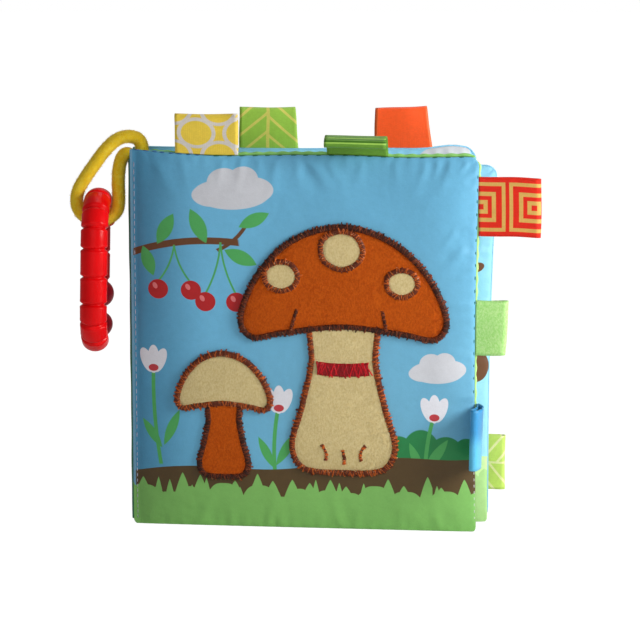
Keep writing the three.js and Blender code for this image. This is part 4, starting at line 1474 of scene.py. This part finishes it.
def satin_line(name, leaf, line, wide, lift, tall, material, nodes, closed=True, over=(), ragged=0.35):
    """Satin stitch along a line: a padded cord of cloth and the threads that cross it."""
    length = line_length(np.vstack([line, line[:1]]) if closed else line)
    ends = smooth_line(line, round(length / 0.9), closed)
    ways = np.roll(ends, -1, 0) - np.roll(ends, 1, 0) if closed else np.gradient(ends, axis=0)
    outward = right_of(unit(ways))
    columns = len(ends) if closed else len(ends) - 1

    def flat(u, v):
        row = rows_at(u, columns) % len(ends)
        return ends[row] + outward[row] * ((v - 0.5) * (wide - 0.5))[:, None]

    def surface(u, v):
        place = flat(u, v)
        rise = lift + (tall - 0.2) * np.sqrt(np.clip(1 - (2 * v - 1) ** 2, 0.0, 1))
        return leaf.surface(place[:, 0], place[:, 1], rise)

    data = bent_grid(name, columns, 8, surface, lambda u, v: flat(u, v) / 100, flip=True)
    piece = new_piece(name, data, leaf.body, material, slot_of(material), nodes)
    thicken(piece, "backing", SATIN_BACKING)
    piece.modifiers.new("even", "WEIGHTED_NORMAL")

    luck = np.random.default_rng(len(name) + columns)
    count = int(length / THREAD_PITCH)
    layers = []
    for share, extra in ((1.0, 0.0), (0.45, 0.12)):
        number = int(count * share)
        where = np.sort((np.arange(number) + luck.uniform(-0.3, 0.3, number)) / number * len(ends))
        row = np.clip(where, 0, len(ends) - 1.001)
        low = np.floor(row).astype(int)
        part = (row - low)[:, None]
        high = (low + 1) % len(ends) if closed else np.minimum(low + 1, len(ends) - 1)
        spot = ends[low] * (1 - part) + ends[high] * part
        out = outward[low]
        grow = luck.normal(0, ragged, number)
        spot = spot + out * (grow * 0.5)[:, None]
        slant = THREAD_SLANT * np.where(np.arange(number) % 2, 1, -1) + luck.normal(0, 0.08, number)
        extras = np.full(number, extra)
        layers.append((spot, unit(right_of(out)), out, wide + grow, slant, extras, luck.random(number)))
    parts = [np.concatenate(part) for part in zip(*layers)]
    keep = np.ones(len(parts[0]), bool)
    for other in over:
        keep &= ~inside_of(grown(other, BORDER / 2 - 0.2), parts[0])
    spot, way_flat, out_flat, long, slant, extra, tones = (part[keep] for part in parts)
    across_flat = unit(out_flat + way_flat * slant[:, None])
    height = leaf.surface(spot[:, 0], spot[:, 1], lift)
    half = across_flat * 0.5
    across = unit(leaf.surface(*(spot + half).T, lift) - leaf.surface(*(spot - half).T, lift))
    up = normals_at(leaf, spot, lift)
    along = unit(np.cross(across, up))
    frames = np.stack([
        along * THREAD_WIDTH * luck.uniform(0.85, 1.3, len(spot))[:, None],
        across * long[:, None],
        up * (tall + extra)[:, None],
    ], axis=2)
    threads = scatter(f"{name}_threads", template(thread), height + up * THREAD_LIFT, frames, tones)
    new_piece(f"{name}_threads", threads, leaf.body, material, slot_of(material))


def toadstool(plan, leaf):
    """The outlines of a cap and its stem on the leaf."""
    width, height = plan["cap"]
    x, brim = leaf.width * plan["x"], leaf.height * plan["brim"]
    cap = outline_of(x, brim, width, height, CAP_SHARES)
    tall = leaf.height * (plan["brim"] - plan["foot"]) * STEM_TUCK_SHARE
    stem = outline_of(x, leaf.height * plan["foot"], plan["stem"], tall, STEM_SHARES)
    return cap, stem


def raise_cover_pieces(leaf):
    brown = plush_cloth("plush_brown", "#e2701c", "#bc4e0a")
    cream = plush_cloth("plush_cream", "#f4e4b2", "#dac48a")
    # The last colour of each satin finish below is its painted highlight
    dark = satin_thread("satin_dark", "#7a3414", "#34140a", "#e0b080")
    rust = satin_thread("satin_rust", "#c05a1c", "#5e2610", "#fbe6bc")
    red = satin_thread("satin_red", "#d00f20", "#8c0814", "#e84a50")
    cap, stem = toadstool(LARGE_TOADSTOOL, leaf)
    small_cap, small_stem = toadstool(SMALL_TOADSTOOL, leaf)
    width, height = LARGE_TOADSTOOL["cap"]
    foot_x, foot_z = leaf.width * LARGE_TOADSTOOL["x"], leaf.height * LARGE_TOADSTOOL["brim"]
    spots = {
        side: outline_of(foot_x + x * width, foot_z + z * height, wide, tall, SPOT_SHARES)
        for side, (x, z, wide, tall) in LARGE_SPOTS.items()
    }
    layers = [
        ("large_stem", stem, STEM_LIFT, cream, rust, [cap]),
        ("large_cap", cap, PLUSH_LIFT, brown, dark, list(spots.values())),
        ("small_stem", small_stem, STEM_LIFT, brown, dark, [small_cap]),
        ("small_cap", small_cap, PLUSH_LIFT, cream, rust, []),
        *((f"spot_{side}", outline, SPOT_LIFT, cream, rust, []) for side, outline in spots.items()),
    ]
    for name, outline, lift, plush, satin, over in layers:
        plush_patch(f"{name}_patch", leaf, outline, lift, plush, f"{name}_plush", over)
        satin_line(
            f"{name}_edging", leaf, outline, BORDER, lift - EDGING_SINK, EDGING_RISE,
            satin, [f"{name}_border"], over=over,
        )
    stem_width = LARGE_TOADSTOOL["stem"] * NECK_SHARE - BORDER - 1.2
    ring = outline_of(foot_x, leaf.height * LARGE_TOADSTOOL["ring"], stem_width, RING_BAND, RING_SHARES)
    middle_z = (ring[:, 1].max() + ring[:, 1].min()) / 2
    ring_x = np.linspace(-0.48, 0.48, 24)
    line = np.stack([foot_x + ring_x * stem_width, middle_z + 0.8 * (2 * ring_x) ** 2 - 0.2], axis=1)
    satin_line(
        "stem_ring_band", leaf, line, RING_BAND, 1.1, 1.0, red, ["stem_ring"], closed=False, ragged=0.5,
    )
    t = np.linspace(-1, 1, 16)
    bow = 1 - t * t
    creases = []
    for side, x, bend in (("left", -0.24, 0.15), ("right", 0.2, -0.1)):
        right = foot_x + x * width + t * bend * 9
        up = foot_z + 0.16 * height + t * 9 / 2 + bend * 4 * bow
        creases.append((f"cap_crease_{side}", right, up, 1.5, dark))
    foot = leaf.height * LARGE_TOADSTOOL["foot"]
    for number, (x, z, reach, bend) in enumerate(((-9, 9, 7, 1.2), (0, 7, 6, 0.4), (9, 9, 7, -1.2)), 1):
        right = foot_x + x - t * bend * 0.8 + bend * bow
        creases.append((f"stem_crease_{number}", right, foot + z + t * reach / 2, 1.1, rust))
    for name, right, up, lift, satin in creases:
        line = np.stack([right, up], axis=1)
        satin_line(name, leaf, line, 1.7, lift, 0.5, satin, [], closed=False, ragged=0.15)


# Ribbon loops

def ribbon_loop(name, leaf, plan, material):
    _, edge, share, width, reach, lean, bend = plan
    steps, folds = 26, 10
    length = reach - LOOP_FOLD
    angles = np.radians(lean + bend * np.linspace(0, 1, steps + 1))
    ways = np.stack([-np.sin(angles), np.cos(angles)], axis=1)
    middle = np.vstack([[0, 0], np.cumsum(ways[1:] * length / steps, axis=0)])
    root = (CLEARANCE + RIBBON) / 2
    spread = root + (LOOP_FOLD - root) * np.sin(math.pi / 2 * np.linspace(0, 1, steps + 1))
    beside = right_of(ways)
    turns = np.linspace(0, math.pi, folds + 1)[1:-1]
    fold = middle[-1] + LOOP_FOLD * (
        beside[-1] * np.cos(turns)[:, None] + ways[-1] * np.sin(turns)[:, None]
    )
    path = np.vstack([middle + beside * spread[:, None], fold, (middle - beside * spread[:, None])[::-1]])
    far = lengths_along(path)
    rim = leaf.cut_height if edge == "top" else leaf.width
    place = share * (leaf.width if edge == "top" else leaf.height)
    stretch = place + np.linspace(-0.5, 0.5, 15) * width
    if edge == "top":
        seam = leaf.outline(np.clip(stretch, 0, leaf.width), np.full(15, rim))[1]
    else:
        seam = leaf.outline(np.full(15, rim), np.clip(stretch, 0, leaf.cut_height))[0]
    reach_to = seam.max() + CLEARANCE + RIBBON * math.sin(math.radians(lean))
    narrow, slope, shear = LOOP_ENDS.get(name, (0, 0, 0))
    luck = np.random.default_rng(len(name) * 7 + int(width))
    phase = luck.uniform(0, 6, 3)
    columns = round(width / 1.4)

    def surface(u, v):
        row = rows_at(v, len(path) - 1)
        across = (u - 0.5) * width
        out = np.clip(path[row, 1] / reach, 0, 1)
        sag = 0.35 * np.sin(across / 7 + phase[0]) * out + 0.2 * np.sin(across / 3.1 + phase[1]) * out
        side = across * (1 - 0.012 * out) + 0.25 * np.sin(path[row, 1] / 4 + phase[2]) * out
        side = side - narrow * out * np.clip(2 * across / width, 0, 1)
        fit = np.interp(across, stretch - place, seam - seam.max()) * (1 - out)
        skew = (slope * across / width - shear * (0.5 + across / width)) * out
        aside = path[row, 0] + sag
        away = reach_to + (path[row, 1] + 0.2 * np.sin(across / 6 + phase[2]) * out + fit + skew)
        if edge == "top":
            return leaf.world(np.stack([place + side, aside, away], axis=1))
        return leaf.world(np.stack([away, aside, place - side], axis=1))

    def chart(u, v):
        row = rows_at(v, len(path) - 1)
        along = np.minimum(far[row], far[-1] - far[row])
        return np.stack([u * width, along], axis=1) / 100

    data = bent_grid(name, columns, len(path) - 1, surface, chart, flip=edge == "top")
    piece = new_piece(f"{name}_ribbon", data, leaf.body, material, slot_of(material), [name])
    thicken(piece, "ribbon thickness", RIBBON, offset=0)
    return piece


def terry_pile(name, leaf, ribbon, material):
    """Small loops that stand off both sides of the terry ribbon, tinted in bands along it as painted shade
    between rows of loops.
    """
    bm = bmesh.new()
    bm.from_mesh(ribbon.data)
    bm.normal_update()
    luck = np.random.default_rng(11)
    faces = [(face.normal.copy(), [vertex.co.copy() for vertex in face.verts]) for face in bm.faces]
    bm.free()
    places, frames, painted_row_shade_and_luck = [], [], []
    for out, corners in faces:
        for _ in range(7):
            a, b = luck.random(2)
            low = corners[0] * (1 - a) + corners[1] * a
            high = corners[3] * (1 - a) + corners[2] * a
            spot = low * (1 - b) + high * b
            way = np.array(out) + luck.normal(0, 0.35, 3)
            way = way / np.linalg.norm(way)
            side = np.cross(way, luck.normal(0, 1, 3))
            side = side / np.linalg.norm(side)
            tall, wide = luck.uniform(0.5, 0.9), luck.uniform(0.3, 0.45)
            places.append(np.array(spot) / MM + np.array(out) * RIBBON / 2)
            frames.append(np.stack([side * wide, np.cross(way, side) * wide * 0.6, way * tall], axis=1))
            # Painted shade: loops are tinted darker in bands across the ribbon, for the shade between rows
            # of loops, with a little random tone
            row = 0.5 + 0.5 * math.sin(2 * math.pi * places[-1][2] / TERRY_ROW)
            painted_row_shade_and_luck.append(0.8 * row + 0.2 * luck.random())
    data = scatter(name, template(fibre), np.array(places), np.array(frames), np.array(painted_row_shade_and_luck))
    new_piece(name, data, leaf.body, material, slot_of(material))


# Cord and link

def cord_loop(material):
    line = smooth_line([*CORD_ROUTE, CORD_TUCK], 320) + SPINE
    luck = np.random.default_rng(5)
    sides = 12
    lumps = blurred(luck.normal(0, 0.05, (len(line), sides + 1)), 0.8)

    def radius_of(v, u):
        row = rows_at(v, len(line) - 1)
        column = rows_at(u, sides) % sides
        taper = np.clip(np.minimum(row, len(line) - 1 - row) / 3, 0.6, 1)
        return (CORD / 2 + lumps[row, column]) * taper

    data = tube("cord", line, radius_of, sides)
    cord = new_piece("cord", data, "middle_leaf", material, "cord_yellow", ["cord_loop"])
    ways, first, second = frames_along(line)
    count = 16000
    row = luck.integers(2, len(line) - 2, count)
    turn = luck.uniform(0, 2 * math.pi, count)
    out = first[row] * np.cos(turn)[:, None] + second[row] * np.sin(turn)[:, None]
    places = line[row] + ways[row] * luck.uniform(-0.4, 0.4, count)[:, None] + out * (CORD / 2 - 0.15)
    lean = unit(out + luck.normal(0, 0.55, (count, 3)))
    side = unit(np.cross(lean, luck.normal(0, 1, (count, 3))))
    tall = luck.gamma(4.0, 0.12, count).clip(0.2, 1.1)
    wide = luck.uniform(0.08, 0.16, count)
    frames = fibre_frames(lean, side, wide, tall)
    fuzz = scatter("cord_fuzz", template(fibre), places, frames, luck.random(count))
    new_piece("cord_fuzz", fuzz, "middle_leaf", material, "cord_yellow")
    line_length(line) * MM


def link_line(distance):
    """Places on the link's centre line, in its own plane, and the ways square to it."""
    radius, straight = LINK_RADIUS, LINK_STRAIGHT
    bend = math.pi * radius
    s = distance % (2 * (straight + bend))
    legs = [s < straight, s < straight + bend, s < 2 * straight + bend]
    turn = np.select(
        legs, [0 * s, (s - straight) / radius, 0 * s + math.pi],
        math.pi + (s - 2 * straight - bend) / radius,
    )
    foot = np.select(
        legs, [s - straight / 2, 0 * s + straight / 2, straight * 1.5 + bend - s], -straight / 2,
    )
    way = np.stack([np.cos(turn), np.sin(turn)], axis=1)
    return way * radius + np.stack([0 * s, foot], axis=1), way


def link_size(share, rib):
    """The section's size at a share of one rib: a V-groove at each end, with rounded lips."""
    room = np.minimum(share, 1 - share) * rib
    groove = np.clip(1 - room / (GROOVE_WIDTH / 2), 0, 1)
    lip = RIB_LIP * np.exp(-((room - GROOVE_WIDTH / 2 - 0.5) / 0.55) ** 2)
    belly = RIB_BELLY * np.sin(math.pi * share)
    return RIB_BASE - GROOVE_DEPTH / (LINK_DEPTH / 2) * groove**1.15 + lip + belly


def ribbed_link(material):
    whole = 2 * (LINK_STRAIGHT + math.pi * LINK_RADIUS)
    start = LINK_GAP / 2 - LINK_RADIUS * LINK_GAP_TURN
    ends = [start, *LINK_GROOVES, start + whole - LINK_GAP]
    stations = []
    per_rib = 24
    for number in range(LINK_RIBS):
        slim = number <= TAPER_RIBS or number == LINK_RIBS - 2
        size = NECK_SIZE if slim else 1
        rib = ends[number + 1] - ends[number]
        for share in np.linspace(0, 1, per_rib, endpoint=False):
            if number in (0, LINK_RIBS - 1):
                inside = share if number == 0 else 1 - share
                reach = min(max(inside, 0.004), 0.996)
                ball = math.sqrt(max(0.0, 1 - (1 - 2 * reach) ** 2))
                neck = NECK_SIZE * (1 - GROOVE_DEPTH / (LINK_DEPTH / 2))
                width = max(ball, neck) if inside > 0.5 else ball
            else:
                width = size * float(link_size(np.array(share), rib))
            stations.append((ends[number] + rib * share, width))
    stations.append((ends[-1], 0.05))
    stations = np.array(stations)
    centre, way = link_line(stations[:, 0])
    middle_z = BIGHT[2] - LINK_HEIGHT / 2 + LINK_DEPTH + CORD / 2 + LINK_HANG
    held = SPINE + np.array(BIGHT)
    hang = Matrix.Rotation(LINK_LEAN, 3, "Y") @ Matrix.Rotation(LINK_TURN, 3, "Z")
    sides = 36

    def surface(u, v):
        row = rows_at(v, len(stations) - 1)
        turn = 2 * math.pi * np.rint(u * sides) / sides
        size = stations[row, 1]
        side = LINK_THICKNESS / 2 * size * np.cos(turn)
        depth = LINK_DEPTH / 2 * size * np.sin(turn)
        flat = centre[row] + way[row] * depth[:, None]
        points = np.stack([side, flat[:, 0], flat[:, 1] + middle_z - held[2]], axis=1)
        return held + points @ np.array(hang.transposed())

    def chart(u, v):
        # The end ribs get v of 1, which the finish paints darker as painted shade
        knob_painted_shade = np.abs(v - 0.5) > 0.5 - 1 / LINK_RIBS
        return np.stack([u, np.where(knob_painted_shade, 1.0, 0.0)], axis=1)

    data = bent_grid("ribbed_link", sides, len(stations) - 1, surface, chart, join=True, cap=True)
    new_piece("ribbed_link", data, "link", material, "link_red", ["link"])


place_camera()
build_groups()
light_scene()
lay_floor()
WRINKLES = wrinkle_field()

FRONT = Leaf("front_cover", -1, FRONT_SAG)
MIDDLE = Leaf("middle_leaf", 0, MIDDLE_SAG, MIDDLE_GUTTER, MIDDLE_DROP, True, MIDDLE_FOOT_TAPER)
BACK = Leaf("back_cover", 1, BACK_SAG, turned=True)

cord_loop(fuzzy_cord())

PAGE = page_print()
COVER = cover_print()
MEADOW = meadow_print()
WADDING = plush_cloth("wadding_white", "#f6f4ee", "#e2dfd6")
WELT_GREEN = plain_cloth("welt_green", "#8fd070")
WELT_LIME = plain_cloth("welt_lime", "#c4f290")
LIP_BLUE = plain_cloth("lip_blue", "#8fd0f0")
SPINE_GREEN = plain_cloth("spine_green", "#2c6a52")
THREAD_PINK = plain_cloth("thread_pink", "#a9a4b4")
THREAD_NAVY = plain_cloth("thread_navy", "#2b568e")
THREAD_TEAL = plain_cloth("thread_teal", "#1f6a58")
THREAD_WHITE = plain_cloth("thread_white", "#d8dcd8")

panel(FRONT, -1, "front_cover_cloth", COVER, "cover_print", ["front_leaf_cover"])
panel(FRONT, 1, "front_cover_lining", MEADOW, "page_green", ["front_leaf_back"])
panel(MIDDLE, -1, "middle_leaf_page", PAGE, "page_print", ["middle_leaf_front"])
panel(MIDDLE, 1, "middle_leaf_reverse", PAGE, "page_print", ["middle_leaf_back"])
panel(BACK, -1, "back_cover_lining", PAGE, "page_print", ["back_leaf_front"])
panel(BACK, 1, "back_cover_cloth", COVER, "cover_print", ["back_leaf_cover"])
wadding(FRONT, "front_wadding", WADDING, ["front_leaf_wadding"])
wadding(MIDDLE, "middle_wadding", WADDING, ["middle_leaf_wadding"])
wadding(BACK, "back_wadding", WADDING, ["back_leaf_wadding"])
spine_gusset("front_gusset", -1, "spine_fold_front", SPINE_GREEN)
spine_gusset("rear_gusset", 1, "spine_fold_rear", SPINE_GREEN)

HEAD_END = FRONT.width
SIDE_END = FRONT.width + FRONT.cut_height
MIDDLE_END = MIDDLE.width + MIDDLE.cut_height - 4
BACK_END = BACK.width + BACK.cut_height - 4
edge_welt("head_welt", FRONT, 10, HEAD_END - 1, WELT_GREEN, "spine_green", 0.85, ease=35, out=0.6)
edge_welt("side_welt", FRONT, HEAD_END + 2, SIDE_END - 55, WELT_LIME, "spine_green", 0.7)
edge_welt("middle_lip", MIDDLE, 20, MIDDLE_END, LIP_BLUE, "page_print", 0.4, ripple_size=0)
edge_welt("back_lip", BACK, 4, BACK_END, LIP_BLUE, "page_print", 0.4, face=-1, ripple_size=0)

LUCK = np.random.default_rng(3)
HEAD = FRONT.cut_height
SPINE_RUN = stitch_run((1.8, 2.5), (1.8, 40), 2.4, 0.86, LUCK)
SPINE_RUN += stitch_run((1.8, 40), (1.8, 168.5), 3.3, 0.9, LUCK)
stitches("spine_stitches", FRONT, SPINE_RUN, 0.34, THREAD_PINK)
HEAD_RUN = stitch_run((1.2, HEAD - 0.1), (35, HEAD - 0.1), 3.9, 0.72, LUCK)
stitches("head_stitches", FRONT, HEAD_RUN, 0.5, THREAD_NAVY)
SEAM_RUN = stitch_run((36, HEAD - 0.15), (150, HEAD - 0.15), SEAM_STITCH, 0.5, LUCK)
SEAM_RUN += stitch_run((FRONT.width - 0.4, 164), (FRONT.width - 0.4, 60), SEAM_STITCH, 0.29, LUCK)
stitches("seam_stitches", FRONT, SEAM_RUN, 0.5, THREAD_TEAL)
FOOT_RUN = stitch_run((FRONT.width - 0.5, 46), (FRONT.width - 0.5, 4), 2.9, 0.6, LUCK)
stitches("foot_stitches", FRONT, FOOT_RUN, 0.4, THREAD_WHITE)

raise_cover_pieces(FRONT)

RIBBONS = {
    "tag_rings": ring_ribbon(),
    "tag_plain_green": folded_green_ribbon(turn=18.4),
    "tag_squares": square_ribbon(wide=26),
    # The terry's darker colour also paints the shade between its rows of loops
    "tag_terry": plush_cloth("ribbon_terry", "#e2ffb8", "#a8ea80"),
    "tag_blue": satin_blue_ribbon(wide=27),
    "tag_veins": vein_ribbon(
        "ribbon_veins", 25.7, "#9ecb4c", "#dad468",
        pitch=8.5, rise=0.85, thick=0.8, rib_half=0.75, shifts=(-3.9, -2.2),
    ),
    "tag_orange": plain_ribbon("ribbon_orange", "#ff5a20", "#ff6a30", wide=26.2),
    "tag_chevrons": vein_ribbon(
        "ribbon_chevrons", 25.4, "#c0de66", "#e4e8a6",
        pitch=7.5, rise=-0.8, thick=0.7, rib_half=0.5, shifts=(0, 3.75),
    ),
}
for tag, finish in RIBBONS.items():
    owner = FRONT if LOOPS[tag][0] == "front" else BACK
    made = ribbon_loop(tag, owner, LOOPS[tag], finish)
    if tag == "tag_terry":
        terry_pile("terry_loops", owner, made, finish)

ribbed_link(glossy_plastic())

bpy.context.scene.view_settings.view_transform = "Standard"
